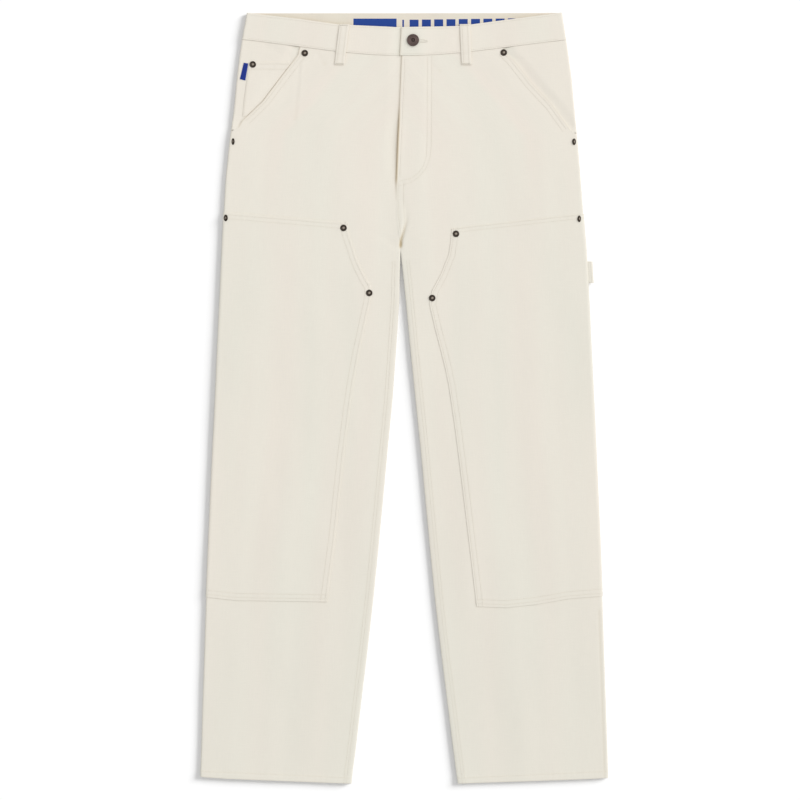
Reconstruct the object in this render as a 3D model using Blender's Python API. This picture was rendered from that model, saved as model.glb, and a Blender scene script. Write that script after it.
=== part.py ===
"""Double-knee carpenter jeans laid flat on their back, in metres.

The waist points to +Y, the front faces up and the wearer's right leg lies on the -X side.
The flat underside rests at z = 0, and the origin is the centre of the box's base.
Plan positions come from short tables of the pattern drawing. Sizes across the cloth are in millimetres.
"""

import math
from dataclasses import dataclass

import bpy
import numpy as np

# The pattern drawing: x runs to the right and y runs down, in steps of this many millimetres.
STEP = 1.4
DRAWING_CENTRE_X = 404.2
DRAWING_CENTRE_Y = 398.15
METRES_PER_MM = 0.001

# Cloth thicknesses and gaps
SEAM_GAP = 0.3
CLOTH = 1.4
BAND_CLOTH = 2.0
PATCH_CLOTH = 1.2
FACING_CLOTH = 1.2
POCKET_CLOTH = 1.0
TAB_CLOTH = 0.6
LOOP_CLOTH = 2.0

# Heights of the laid garment over the floor
FRONT_TOP = 5.2
BAND_TOP = 6.2
FOLD_RADIUS = 7.0
HEM_RISE = 0.8
HEM_DEPTH = 9.0

# The fly: the left front laps over the right one
LAP_RISE = 0.9
LAP_SINK = 0.8
LAP_UNDER = 12.0
LAP_FLAT = 30.0
LAP_FADE = 15.0
LAP_SINK_RUN = 20.0
BAND_LAP_RISE = 1.1
BAND_LAP_SINK = 1.2
BAND_UNDER = 25.0
BAND_LAP_FADE = 23.0

# Slant pockets: the facing lies one wall lower than the front, so that it passes under the opening
FACING_UNDER = 12.0
FACING_DEPTH = CLOTH + SEAM_GAP

# Faces round the turned metal trim
ROUND_STEPS = 16
BUTTON_STEPS = 28


def mm_x(steps):
    """A drawing x in millimetres of the garment's frame."""
    return (np.asarray(steps, float) - DRAWING_CENTRE_X) * STEP


def mm_y(steps):
    """A drawing y in millimetres of the garment's frame."""
    return (DRAWING_CENTRE_Y - np.asarray(steps, float)) * STEP


class Line:
    """One line of the drawing, read as x at a height or as height at an x."""

    def __init__(self, *points):
        drawn = np.array(points, float)
        self.x = mm_x(drawn[:, 0])
        self.y = mm_y(drawn[:, 1])

    def x_at(self, y):
        order = np.argsort(self.y)
        return np.interp(y, self.y[order], self.x[order])

    def y_at(self, x):
        order = np.argsort(self.x)
        return np.interp(x, self.x[order], self.y[order])


def bowed(start, end, bow, evenness=1.0, steps=48):
    """Points of a line that sags by bow steps half way. Less evenness keeps its ends straighter."""
    start = np.array(start, float)
    end = np.array(end, float)
    points = []
    for share in np.linspace(0.0, 1.0, steps + 1):
        sag = evenness * 4.0 * share * (1.0 - share) + (1.0 - evenness) * math.sin(math.pi * share) ** 2
        points.append(start + (end - start) * share + (0.0, bow * sag))
    return points


@dataclass(frozen=True)
class Side:
    """The lines of one half. inward is 1 where x grows from the side fold to the middle."""

    name: str
    inward: int
    fold: Line
    inner: Line
    hem: Line
    opening: Line
    fold_rows: tuple
    opening_rows: tuple


# Side lines, each row as (x, y) of the drawing
RIGHT = Side(
    name="right",
    inward=1,
    fold=Line(
        (247.4, 13), (245.4, 20), (243.6, 30), (241.7, 40), (239.6, 55), (236.5, 80), (233.8, 110),
        (229.5, 140), (225.4, 180), (223.4, 217), (221.8, 250), (219.6, 300), (217.2, 350), (215, 400),
        (212.5, 450), (210.2, 500), (208, 550), (205.9, 600), (204.3, 650), (202.6, 700), (201.1, 750), (200.1, 778),
    ),
    inner=Line(
        (400.6, 253), (399.9, 275), (399.5, 300), (396.1, 350), (392.6, 400), (387.7, 450), (383.1, 500),
        (378.3, 550), (373.3, 600), (367.6, 650), (361.6, 700), (355.7, 750), (353, 770), (351.4, 784),
    ),
    hem=Line((200, 777), (215, 778.1), (230, 779), (280, 781), (310, 782.2), (351.4, 783.7)),
    opening=Line(
        (230.8, 131), (232.8, 130.4), (236, 129), (238.6, 127), (242, 121), (263, 101), (284, 73),
        (298, 55), (300, 46),
    ),
    fold_rows=(777, 770.6, 750, 700, 650, 600, 550, 500, 450, 400, 350, 300, 275),
    opening_rows=(150, 140, 131, 130.4, 129, 127, 121, 101, 73, 55),
)
LEFT = Side(
    name="left",
    inward=-1,
    fold=Line(
        (561.6, 13), (563, 20), (564.8, 30), (566.3, 40), (568.6, 55), (572, 80), (574.6, 110),
        (577.6, 140), (580.9, 180), (583.6, 217), (586.4, 250), (589.2, 300), (591.5, 350), (594, 400),
        (596.3, 450), (598.5, 500), (600.7, 550), (602.5, 600), (604.2, 650), (605.9, 700), (607.5, 750), (608.3, 778),
    ),
    inner=Line(
        (400.6, 253), (403.1, 275), (405.6, 300), (410.3, 350), (415.5, 400), (420.6, 450), (425.3, 500),
        (430, 550), (435, 600), (440.7, 650), (447, 700), (453.2, 750), (455.8, 770), (458, 784),
    ),
    hem=Line((458, 783.7), (475, 783), (500, 782.2), (530, 781.2), (560, 780.1), (590, 779), (608.3, 778)),
    opening=Line(
        (577, 134), (575, 133.4), (571.9, 131.6), (569.6, 129), (551.4, 103.8), (531.7, 82.8),
        (513.5, 59.6), (505, 53), (503, 46),
    ),
    fold_rows=(777.5, 771.1, 750, 700, 650, 600, 550, 500, 450, 400, 350, 300, 275),
    opening_rows=(150, 140, 134, 133.4, 131.6, 129, 116, 103.8, 82.8, 59.6, 53),
)
CROTCH_ROWS = (264, 257, 251, 245, 240, 228, 216, 198, 180, 165)

# Lines that both halves share
FLY = Line(
    (401.8, 40), (401.8, 56), (400, 98), (398, 140), (396.4, 180), (396.2, 216), (400.5, 245), (400.6, 253)
)
CENTRE_BACK = Line((400.6, 0), (400.6, 253))
BAND_END = Line((401.2, 27), (399.6, 56))
FRONT_SEAM = Line(*bowed((241.4, 39.5), (566.6, 40), 16.0, evenness=0.55))
FRONT_WAIST = Line(
    (247, 12.9), (300, 19), (339, 24.5), (401, 27.3), (460, 26), (471, 24.5), (520, 18), (562, 12.6)
)
BACK_SEAM = Line(*bowed((241.4, 39.5), (566.6, 40), 1.8))
BACK_WAIST = Line((247, 12.9), (403, 12.8), (562, 12.6))

# Heights between which the tube of the hips parts into the legs, and the fly's lap fades
CROTCH_HIGH = mm_y(240)
CROTCH_LOW = mm_y(264)
UNDERLAP_ENDS = (mm_y(176), mm_y(156))
LAP_ENDS = (mm_y(226), mm_y(182))

# Knee patches: the inner edge from the bottom corner up to the top corner, as (x, y) of the drawing
PATCH_RIGHT_EDGE = Line(
    (327, 602), (335, 541), (339.5, 498), (344.5, 452), (351, 402), (354, 382), (359.5, 352),
    (366, 322), (371.5, 297), (371, 285.6), (366.6, 279), (362.1, 270.3), (357, 258.8), (352, 243),
    (348.5, 233), (347.5, 222.4),
)
PATCH_RIGHT_TOP = Line((223.4, 212), (347.5, 222.4))
PATCH_RIGHT_BOTTOM = Line((206, 597.3), (236, 600.6), (327, 602))
PATCH_LEFT_EDGE = Line(
    (476.5, 606.7), (471, 560), (465, 510), (459, 460), (453.7, 419.5), (448.6, 385.5), (445, 368),
    (441, 351.5), (435, 329), (429.3, 304), (431.8, 291), (441.3, 273), (448.7, 254), (450.8, 240),
    (451.5, 228.8),
)
PATCH_LEFT_TOP = Line((451.5, 228.8), (466, 227), (584, 213.8))
PATCH_LEFT_BOTTOM = Line((476.5, 606.7), (507, 607.8), (537.8, 604.4), (568.4, 599), (603, 596.2))
PATCH_FOLD_ANGLE = 35.0

# Small pieces, as (x, y) of the drawing
COIN_POCKET_EDGE = Line((249, 62), (246.6, 81), (244, 100), (242.4, 116))
COIN_POCKET_ROWS = (116, 108, 100, 81, 70, 62)
TAB_CORNERS = ((243.8, 62.8), (248.2, 63.6), (245.4, 80.5), (239.9, 79.2))
BELT_LOOPS = (
    # name, x of the two edges at the top, x of the two edges at the bottom
    ("belt_loop_right", (339.2, 349.6), (334.2, 344.6)),
    ("belt_loop_left", (459.4, 470.2), (461.4, 471.6)),
)
BELT_LOOP_ROWS = (
    # y of the drawing, height of the underside over the floor in millimetres
    (65.0, 5.5), (58.0, 5.5), (53.0, 6.7), (46.0, 7.3), (38.0, 7.5), (30.0, 7.1), (24.3, 6.5),
)
HAMMER_LOOP_ROWS = (261.4, 268.5, 275.7, 282.9)
HAMMER_LOOP_SECTION = (
    # distance out from the fold, half thickness, both in millimetres
    (0.4, 1.3), (3.0, 1.3), (5.6, 1.2), (7.2, 0.85), (7.8, 0.35),
)
RIVETS = (
    # name, x and y of the drawing, millimetres of cloth on the panel there
    ("rivet_pocket_top_right", 304.8, 53.2, 0.0),
    ("rivet_coin_pocket", 252.8, 64.6, POCKET_CLOTH + SEAM_GAP - FACING_DEPTH),
    ("rivet_pocket_base_right", 233.4, 141.4, 0.0),
    ("rivet_patch_side_right", 226.0, 218.0, PATCH_CLOTH + SEAM_GAP),
    ("rivet_patch_corner_right", 343.5, 228.0, PATCH_CLOTH + SEAM_GAP),
    ("rivet_patch_point_right", 369.2, 293.0, PATCH_CLOTH + SEAM_GAP),
    ("rivet_pocket_top_left", 503.7, 52.6, 0.0),
    ("rivet_pocket_base_left", 573.8, 141.7, 0.0),
    ("rivet_patch_side_left", 579.4, 218.9, PATCH_CLOTH + SEAM_GAP),
    ("rivet_patch_corner_left", 455.9, 233.9, PATCH_CLOTH + SEAM_GAP),
    ("rivet_patch_point_left", 432.2, 298.1, PATCH_CLOTH + SEAM_GAP),
)
RIVET_PROFILE = (
    # radius, height
    (4.3, 0.0), (4.65, 0.3), (4.5, 0.8), (3.4, 1.15), (2.5, 1.0), (2.1, 1.45), (1.1, 1.75),
)
BUTTON_PLACE = (413.0, 40.5)
BUTTON_PROFILE = (
    # radius, height
    (3.4, 0.0), (3.4, 1.0), (8.0, 1.2), (8.5, 1.8), (8.1, 2.5), (7.0, 2.8), (6.4, 2.5), (5.2, 2.6),
    (4.6, 2.9), (3.2, 2.8), (2.4, 2.2), (1.2, 2.0),
)


def smooth(share):
    """0 below 0, 1 above 1 and an even curve between."""
    share = np.clip(share, 0.0, 1.0)
    return share * share * (3.0 - 2.0 * share)


def legs_apart(y):
    """0 above the crotch, where the two halves are sewn together, and 1 where each leg is a tube."""
    return smooth((CROTCH_HIGH - y) / (CROTCH_HIGH - CROTCH_LOW))


def lap_share(y):
    """1 along the fly's opening and 0 below its base."""
    return smooth((y - LAP_ENDS[0]) / (LAP_ENDS[1] - LAP_ENDS[0]))


def front_top(side, x, y):
    """Height of the front's outer face away from the folds."""
    past_fly = x - FLY.x_at(y)
    if side is RIGHT:
        sunk = smooth((past_fly + LAP_SINK_RUN) / (LAP_SINK_RUN - 0.5))
        lap = -LAP_SINK * sunk * lap_share(y)
    else:
        lap = LAP_RISE * (1.0 - smooth((past_fly - LAP_FLAT) / LAP_FADE)) * lap_share(y)
    over_hem = y - side.hem.y_at(x)
    hem = HEM_RISE * (1.0 - smooth((over_hem - HEM_DEPTH + 2.0) / 4.0))
    return FRONT_TOP + lap + hem


def turned_height(side, x, y, top, middle, depth):
    """Height of a face that turns down to the seam at the folds, depth millimetres inside the outer one."""
    radius = FOLD_RADIUS - depth
    from_fold = side.inward * (x - side.fold.x_at(y)) - depth
    from_inner = side.inward * (side.inner.x_at(y) - x) - depth
    outer = np.clip(1.0 - from_fold / radius, 0.0, 1.0)
    inner = np.clip(1.0 - from_inner / radius, 0.0, 1.0)
    apart = legs_apart(y)
    rise = np.sqrt(1.0 - outer**2) * (1.0 - apart + apart * np.sqrt(1.0 - inner**2))
    return middle + (top - middle) * rise


def front_height(side, x, y, depth):
    """Height of the front's face, depth millimetres below its outer one. Less than 0 is above it."""
    middle = FRONT_TOP / 2.0 + SEAM_GAP / 2.0
    return turned_height(side, x, y, front_top(side, x, y) - depth, middle, depth)


def back_height(side, x, y, depth):
    """Height of the back's face, depth millimetres above the underside."""
    middle = FRONT_TOP / 2.0 - SEAM_GAP / 2.0
    return turned_height(side, x, y, depth, middle, depth)


def outward(side, x, y):
    """The direction that the front's outer face looks in."""
    from_fold = side.inward * (x - side.fold.x_at(y))
    outer = float(np.clip(1.0 - from_fold / FOLD_RADIUS, 0.0, 1.0))
    across = -side.inward * outer / FOLD_RADIUS
    up = math.sqrt(1.0 - outer**2) / (FRONT_TOP / 2.0)
    length = math.hypot(across, up)
    return np.array((across / length, 0.0, up / length))


def columns(start_angles, middle_steps, end_angles):
    """Columns of a grid: (angle on the start's fold, or share of the middle, or angle on the end's fold)."""
    found = [("start", math.radians(angle)) for angle in start_angles]
    first = 0 if not start_angles else 1
    last = middle_steps + 1 if not end_angles else middle_steps
    found += [("middle", step / middle_steps) for step in range(first, last)]
    found += [("end", math.radians(angle)) for angle in end_angles]
    return found


def spread(side, found, y, start, end, start_inset, end_inset, start_radius, end_radius):
    """x of each column at each point's own height."""
    x = np.empty_like(y)
    for index, (kind, value) in enumerate(found):
        row = y[:, index]
        first = start(row)
        width = side.inward * (end(row) - first)
        start_in = start_inset(row)
        end_in = end_inset(row)
        if kind == "start":
            across = start_in + (start_radius - start_in) * (1.0 - math.cos(value))
        elif kind == "middle":
            across = start_radius + (width - start_radius - end_radius) * value
        else:
            across = width - end_in - (end_radius - end_in) * (1.0 - math.cos(value))
        x[:, index] = first + side.inward * across
    return x


def laid_grid(side, found, rows, bottom, top, start, end, **folds):
    """x and y of a grid whose rows run from the bottom line to the top line and columns from start to end."""
    rows = np.array(rows, float)
    share = ((rows - rows[0]) / (rows[-1] - rows[0]))[:, None]
    y = np.repeat(rows[:, None], len(found), axis=1)
    for _ in range(8):
        x = spread(side, found, y, start, end, **folds)
        y = bottom(x[:1]) * (1.0 - share) + top(x[-1:]) * share
    return x, y


def no_inset(y):
    """Fold inset of an edge that has no fold."""
    return np.zeros_like(y)


def grid_points(x, y, z):
    """The grid as an array of points."""
    return np.stack((x, y, z), axis=-1)


def add_mesh(name, points, faces, material):
    """A mesh object of these points in millimetres, with its faces pointing out."""
    points = np.asarray(points, float) * METRES_PER_MM
    triangles = [(face[0], face[i], face[i + 1]) for face in faces for i in range(1, len(face) - 1)]
    volume = np.linalg.det(points[np.array(triangles)]).sum()
    if volume < 0.0:
        faces = [tuple(reversed(face)) for face in faces]
    mesh = bpy.data.meshes.new(name)
    mesh.from_pydata([tuple(point) for point in points], [], faces)
    mesh.materials.append(material)
    mesh.validate()
    made = bpy.data.objects.new(name, mesh)
    bpy.context.scene.collection.objects.link(made)
    return made


def slab(name, face, back, material):
    """A closed wall between two grids of the same size."""
    rows, steps = face.shape[:2]
    count = rows * steps
    points = np.concatenate((face.reshape(-1, 3), back.reshape(-1, 3)))
    faces = []
    for row in range(rows - 1):
        for step in range(steps - 1):
            corner = row * steps + step
            quad = (corner, corner + 1, corner + steps + 1, corner + steps)
            faces.append(quad)
            faces.append(tuple(count + index for index in reversed(quad)))
    rim = [step for step in range(steps)]
    rim += [row * steps + steps - 1 for row in range(1, rows)]
    rim += [(rows - 1) * steps + step for step in range(steps - 2, -1, -1)]
    rim += [row * steps for row in range(rows - 2, 0, -1)]
    for index, here in enumerate(rim):
        after = rim[(index + 1) % len(rim)]
        faces.append((after, here, count + here, count + after))
    return add_mesh(name, points, faces, material)


def lathe(name, profile, place, direction, steps, material):
    """A turned piece that stands on place and points in direction."""
    up = direction / np.linalg.norm(direction)
    side_axis = np.cross((0.0, 1.0, 0.0), up)
    side_axis /= np.linalg.norm(side_axis)
    other = np.cross(up, side_axis)
    turn = 2.0 * math.pi * np.arange(steps) / steps
    ring = np.cos(turn)[:, None] * side_axis + np.sin(turn)[:, None] * other
    points = [place]
    for radius, height in profile:
        points.extend(place + radius * ring + height * up)
    points.append(place + profile[-1][1] * up)
    last = len(points) - 1
    faces = []
    for step in range(steps):
        after = (step + 1) % steps
        faces.append((0, 1 + after, 1 + step))
        for level in range(len(profile) - 1):
            low = 1 + level * steps
            high = low + steps
            faces.append((low + step, low + after, high + after, high + step))
        top = 1 + (len(profile) - 1) * steps
        faces.append((top + step, top + after, last))
    return add_mesh(name, np.array(points), faces, material)


def fold_inset(side, start, depth):
    """How far a wall's inner face starts inside the outer one, which is none off the fold."""

    def inset(y):
        off_fold = np.abs(start(y) - side.fold.x_at(y)) / FOLD_RADIUS
        return depth * np.clip(1.0 - off_fold, 0.0, 1.0)

    return inset


def front_start(side):
    """x of the front panel's outer edge: the fold, then the slant pocket's opening."""
    opening_base = side.opening.y.min()

    def start(y):
        return np.where(y < opening_base, side.fold.x_at(y), side.opening.x_at(y))

    return start


def front_end(side):
    """x of the front panel's inner edge: the leg's inner fold, then the fly."""

    def end(y):
        if side is RIGHT:
            under = smooth((y - UNDERLAP_ENDS[0]) / (UNDERLAP_ENDS[1] - UNDERLAP_ENDS[0]))
            fly = FLY.x_at(y) - SEAM_GAP / 2.0 + (LAP_UNDER + SEAM_GAP / 2.0) * under
        else:
            fly = FLY.x_at(y) + SEAM_GAP / 2.0
        inner = side.inner.x_at(y) - side.inward * SEAM_GAP / 2.0
        return np.where(y > side.inner.y.max(), fly, inner)

    return end


def leg_folds(side, start, depth):
    """The fold settings of a whole leg panel for one of its faces."""
    return {
        "start_inset": fold_inset(side, start, depth),
        "end_inset": lambda y: depth * legs_apart(y),
        "start_radius": FOLD_RADIUS,
        "end_radius": FOLD_RADIUS,
    }


def add_front(side, material):
    """The front panel of one leg, from the hem to the waist seam."""
    found = columns((0, 22.5, 45, 67.5, 90), 7, (90, 67.5, 45, 22.5, 0))
    start = front_start(side)
    end = front_end(side)
    rows = [*mm_y(side.fold_rows), *mm_y(CROTCH_ROWS), *mm_y(side.opening_rows)]
    seam_y = FRONT_SEAM.y_at(side.opening.x_at(1000.0)) - SEAM_GAP / 2.0
    rows.append(seam_y)
    faces = []
    for depth in (0.0, CLOTH):
        x, y = laid_grid(
            side, found, rows, side.hem.y_at, lambda x: FRONT_SEAM.y_at(x) - SEAM_GAP / 2.0,
            start, end, **leg_folds(side, start, depth),
        )
        faces.append(grid_points(x, y, front_height(side, x, y, depth)))
    return slab(f"front_{side.name}", faces[0], faces[1], material)


def add_back(side, material):
    """The back panel of one leg, flat on its underside."""
    found = columns((0, 22.5, 45, 67.5, 90), 6, (90, 67.5, 45, 22.5, 0))
    start = side.fold.x_at

    def end(y):
        line = np.where(y > side.inner.y.max(), CENTRE_BACK.x_at(y), side.inner.x_at(y))
        return line - side.inward * SEAM_GAP / 2.0

    rows = [*mm_y(side.fold_rows[:1]), *mm_y(side.fold_rows[2:]), *mm_y(CROTCH_ROWS[:5])]
    rows += [*mm_y((216, 180, 140, 110, 80, 55)), float(BACK_SEAM.y_at(side.fold.x_at(rows[-1])))]
    faces = []
    for depth in (0.0, CLOTH):
        x, y = laid_grid(
            side, found, rows, side.hem.y_at, lambda x: BACK_SEAM.y_at(x) - SEAM_GAP / 2.0,
            start, end, **leg_folds(side, start, depth),
        )
        faces.append(grid_points(x, y, back_height(side, x, y, depth)))
    return slab(f"back_{side.name}", faces[0], faces[1], material)


def add_facing(side, material):
    """The pocket facing that shows beside the slant opening and passes under the front."""
    found = columns((0, 22.5, 45, 67.5, 90), 5, ())
    start = side.fold.x_at

    def end(y):
        return side.opening.x_at(y) + side.inward * FACING_UNDER

    base = float(side.opening.y.min()) + 1.8
    rows = [base, *mm_y((121, 111, 101, 87, 73, 55)), float(FRONT_SEAM.y_at(side.fold.x_at(mm_y(40))))]
    faces = []
    for depth in (0.0, FACING_CLOTH):
        x, y = laid_grid(
            side, found, rows, lambda x: np.full_like(x, base),
            lambda x: FRONT_SEAM.y_at(x) - SEAM_GAP / 2.0, start, end,
            start_inset=fold_inset(side, start, depth), end_inset=no_inset,
            start_radius=FOLD_RADIUS, end_radius=0.0,
        )
        faces.append(grid_points(x, y, front_height(side, x, y, FACING_DEPTH + depth)))
    return slab(f"pocket_facing_{side.name}", faces[0], faces[1], material)


def add_patch(side, edge, top, bottom, material):
    """The knee patch, laid on the front panel from the side fold to its shaped inner edge."""
    found = columns((PATCH_FOLD_ANGLE, 62.5, 90), 6, ())
    rows = np.sort(edge.y)
    faces = []
    for depth in (-SEAM_GAP - PATCH_CLOTH, -SEAM_GAP):
        x, y = laid_grid(
            side, found, rows, bottom.y_at, top.y_at, side.fold.x_at, edge.x_at,
            start_inset=lambda y, depth=depth: np.full_like(y, depth), end_inset=no_inset,
            start_radius=FOLD_RADIUS, end_radius=0.0,
        )
        faces.append(grid_points(x, y, front_height(side, x, y, depth)))
    return slab(f"knee_patch_{side.name}", faces[0], faces[1], material)


def add_coin_pocket(material):
    """The small pocket on the right facing. It ends just short of the slant opening."""
    found = columns((), 4, ())
    rows = mm_y(COIN_POCKET_ROWS)
    x, y = laid_grid(
        RIGHT, found, rows, lambda x: np.full_like(x, rows[0]), lambda x: np.full_like(x, rows[-1]),
        COIN_POCKET_EDGE.x_at, lambda y: RIGHT.opening.x_at(y) - 2.0 * SEAM_GAP,
        start_inset=no_inset, end_inset=no_inset, start_radius=0.0, end_radius=0.0,
    )
    faces = [
        grid_points(x, y, front_height(RIGHT, x, y, FACING_DEPTH - lift))
        for lift in (SEAM_GAP + POCKET_CLOTH, SEAM_GAP)
    ]
    return slab("coin_pocket", faces[0], faces[1], material)


def add_tab(material):
    """The plain woven tab caught in the right side seam."""
    corners = np.array(TAB_CORNERS)
    share = np.linspace(0.0, 1.0, 4)
    along = share[:, None, None]
    across = share[None, :, None]
    top = corners[0] * (1.0 - across) + corners[1] * across
    base = corners[3] * (1.0 - across) + corners[2] * across
    drawn = base * (1.0 - along) + top * along
    x = mm_x(drawn[..., 0])
    y = mm_y(drawn[..., 1])
    faces = [
        grid_points(x, y, front_height(RIGHT, x, y, FACING_DEPTH - lift))
        for lift in (SEAM_GAP + TAB_CLOTH, SEAM_GAP)
    ]
    return slab("side_tab", faces[0], faces[1], material)


def band_points(side, depth):
    """One face of a half waistband, from its front end over the side fold to the centre back."""
    front_steps = 9
    back_steps = 6
    angles = np.radians((67.5, 45, 22.5, 0, -22.5, -45, -67.5))
    found = [("front", step / front_steps) for step in range(front_steps, -1, -1)]
    found += [("fold", angle) for angle in angles]
    found += [("back", step / back_steps) for step in range(back_steps + 1)]
    share = np.linspace(0.0, 1.0, 4)[:, None]
    middle = BAND_TOP / 2.0
    y = np.repeat(mm_y(np.linspace(48.0, 18.0, 4))[:, None], len(found), axis=1)
    x = np.zeros_like(y)
    rise = np.zeros(len(found))
    on_front = np.zeros(len(found))
    for _ in range(8):
        for index, (kind, value) in enumerate(found):
            fold = side.fold.x_at(y[:, index])
            if kind == "front":
                end = BAND_END.x_at(y[:, index])
                end = end + BAND_UNDER if side is RIGHT else end
                across = FOLD_RADIUS + (side.inward * (end - fold) - FOLD_RADIUS) * value
                rise[index] = 1.0
            elif kind == "fold":
                across = depth + (FOLD_RADIUS - depth) * (1.0 - math.cos(value))
                rise[index] = math.sin(value)
            else:
                end = CENTRE_BACK.x_at(y[:, index]) - side.inward * SEAM_GAP / 2.0
                across = FOLD_RADIUS + (side.inward * (end - fold) - FOLD_RADIUS) * value
                rise[index] = -1.0
            x[:, index] = fold + side.inward * across
            on_front[index] = 0.5 + 0.5 * rise[index]
        low = FRONT_SEAM.y_at(x[:1]) * on_front + BACK_SEAM.y_at(x[:1]) * (1.0 - on_front)
        low = low + SEAM_GAP / 2.0
        high = FRONT_WAIST.y_at(x[-1:]) * on_front + BACK_WAIST.y_at(x[-1:]) * (1.0 - on_front)
        y = low * (1.0 - share) + high * share
    past_end = x - BAND_END.x_at(y)
    if side is RIGHT:
        lap = -BAND_LAP_SINK * smooth((past_end + LAP_SINK_RUN) / (LAP_SINK_RUN - 0.5))
    else:
        lap = BAND_LAP_RISE * (1.0 - smooth((past_end - BAND_UNDER - 2.0) / BAND_LAP_FADE))
    top = BAND_TOP + lap - depth
    z = np.where(rise > 0.0, middle + (top - middle) * rise, middle + (middle - depth) * rise)
    return grid_points(x, y, z)


def add_band(side, material):
    """One half of the waistband, joined to the other at the centre back."""
    return slab(f"waistband_{side.name}", band_points(side, 0.0), band_points(side, BAND_CLOTH), material)


def add_belt_loop(name, top_edges, base_edges, material):
    """A belt loop over the waistband, sewn down at its top and below the waist seam."""
    rows = np.array(BELT_LOOP_ROWS)
    along = (rows[:, 0] - rows[0, 0]) / (rows[-1, 0] - rows[0, 0])
    across = np.linspace(0.0, 1.0, 5)[None, :]
    left = base_edges[0] + (top_edges[0] - base_edges[0]) * along
    right = base_edges[1] + (top_edges[1] - base_edges[1]) * along
    x = mm_x(left[:, None] * (1.0 - across) + right[:, None] * across)
    y = np.repeat(mm_y(rows[:, 0])[:, None], 5, axis=1)
    under = np.repeat(rows[:, 1][:, None], 5, axis=1)
    crown = 0.35 * (1.0 - (2.0 * across - 1.0) ** 2)
    face = grid_points(x, y, under + LOOP_CLOTH - 0.35 + crown)
    return slab(name, face, grid_points(x, y, under), material)


def add_hammer_loop(material):
    """The short folded loop that stands out of the left outseam."""
    rows = mm_y(HAMMER_LOOP_ROWS)
    section = np.array(HAMMER_LOOP_SECTION)
    x = LEFT.fold.x_at(rows)[:, None] + section[:, 0][None, :]
    y = np.repeat(rows[:, None], len(section), axis=1)
    half = np.repeat(section[:, 1][None, :], len(rows), axis=0)
    middle = FRONT_TOP / 2.0
    return slab("hammer_loop", grid_points(x, y, middle + half), grid_points(x, y, middle - half), material)


def add_rivet(name, drawn_x, drawn_y, cloth, material):
    """A rivet seated on the cloth, square to it."""
    side = RIGHT if drawn_x < DRAWING_CENTRE_X else LEFT
    x = float(mm_x(drawn_x))
    y = float(mm_y(drawn_y))
    height = float(front_height(side, np.float64(x), np.float64(y), -cloth))
    place = np.array((x, y, height + SEAM_GAP))
    return lathe(name, RIVET_PROFILE, place, outward(side, x, y), ROUND_STEPS, material)


def add_button(material):
    """The shank button on the lapped end of the waistband."""
    height = BAND_TOP + BAND_LAP_RISE + SEAM_GAP
    place = np.array((float(mm_x(BUTTON_PLACE[0])), float(mm_y(BUTTON_PLACE[1])), height))
    return lathe("button", BUTTON_PROFILE, place, np.array((0.0, 0.0, 1.0)), BUTTON_STEPS, material)


def add_material(name, color, roughness, metallic):
    """A Principled material with one colour."""
    material = bpy.data.materials.new(name)
    material.use_nodes = True
    shader = material.node_tree.nodes["Principled BSDF"]
    shader.inputs["Base Color"].default_value = (*color, 1.0)
    shader.inputs["Roughness"].default_value = roughness
    shader.inputs["Metallic"].default_value = metallic
    return material


def main():
    for old in list(bpy.data.objects):
        bpy.data.objects.remove(old, do_unlink=True)

    canvas = (0.81, 0.77, 0.68)
    antique = (0.09, 0.075, 0.06)
    for side in (RIGHT, LEFT):
        name = side.name
        add_front(side, add_material(f"front_{name}", canvas, 0.9, 0.0))
        add_back(side, add_material(f"back_{name}", canvas, 0.9, 0.0))
        add_facing(side, add_material(f"pocket_facing_{name}", canvas, 0.9, 0.0))
        add_band(side, add_material(f"waistband_{name}", canvas, 0.9, 0.0))
    patch = add_material("knee_patch_right", canvas, 0.9, 0.0)
    add_patch(RIGHT, PATCH_RIGHT_EDGE, PATCH_RIGHT_TOP, PATCH_RIGHT_BOTTOM, patch)
    patch = add_material("knee_patch_left", canvas, 0.9, 0.0)
    add_patch(LEFT, PATCH_LEFT_EDGE, PATCH_LEFT_TOP, PATCH_LEFT_BOTTOM, patch)
    add_coin_pocket(add_material("coin_pocket", canvas, 0.9, 0.0))
    add_tab(add_material("side_tab", (0.012, 0.04, 0.26), 0.7, 0.0))
    for name, top_edges, base_edges in BELT_LOOPS:
        add_belt_loop(name, top_edges, base_edges, add_material(name, canvas, 0.9, 0.0))
    add_hammer_loop(add_material("hammer_loop", canvas, 0.9, 0.0))
    for name, drawn_x, drawn_y, cloth in RIVETS:
        add_rivet(name, drawn_x, drawn_y, cloth, add_material(name, antique, 0.4, 1.0))
    add_button(add_material("button", antique, 0.4, 1.0))


main()
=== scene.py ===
"""Looks of the double-knee carpenter jeans that lie flat on their back, front up and waist towards +Y.

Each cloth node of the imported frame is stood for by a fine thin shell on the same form, with seam channels,
puckers, welts and creases. Stitches are made with Geometry Nodes, the metal trim is turned, and each finish
is a material worked out from nodes. Plan positions come from the same pattern drawing as the CAD part's.
"""

from __future__ import annotations

import logging
import math
from dataclasses import dataclass, field
from enum import Enum
from typing import Callable, Sequence, Union

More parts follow.
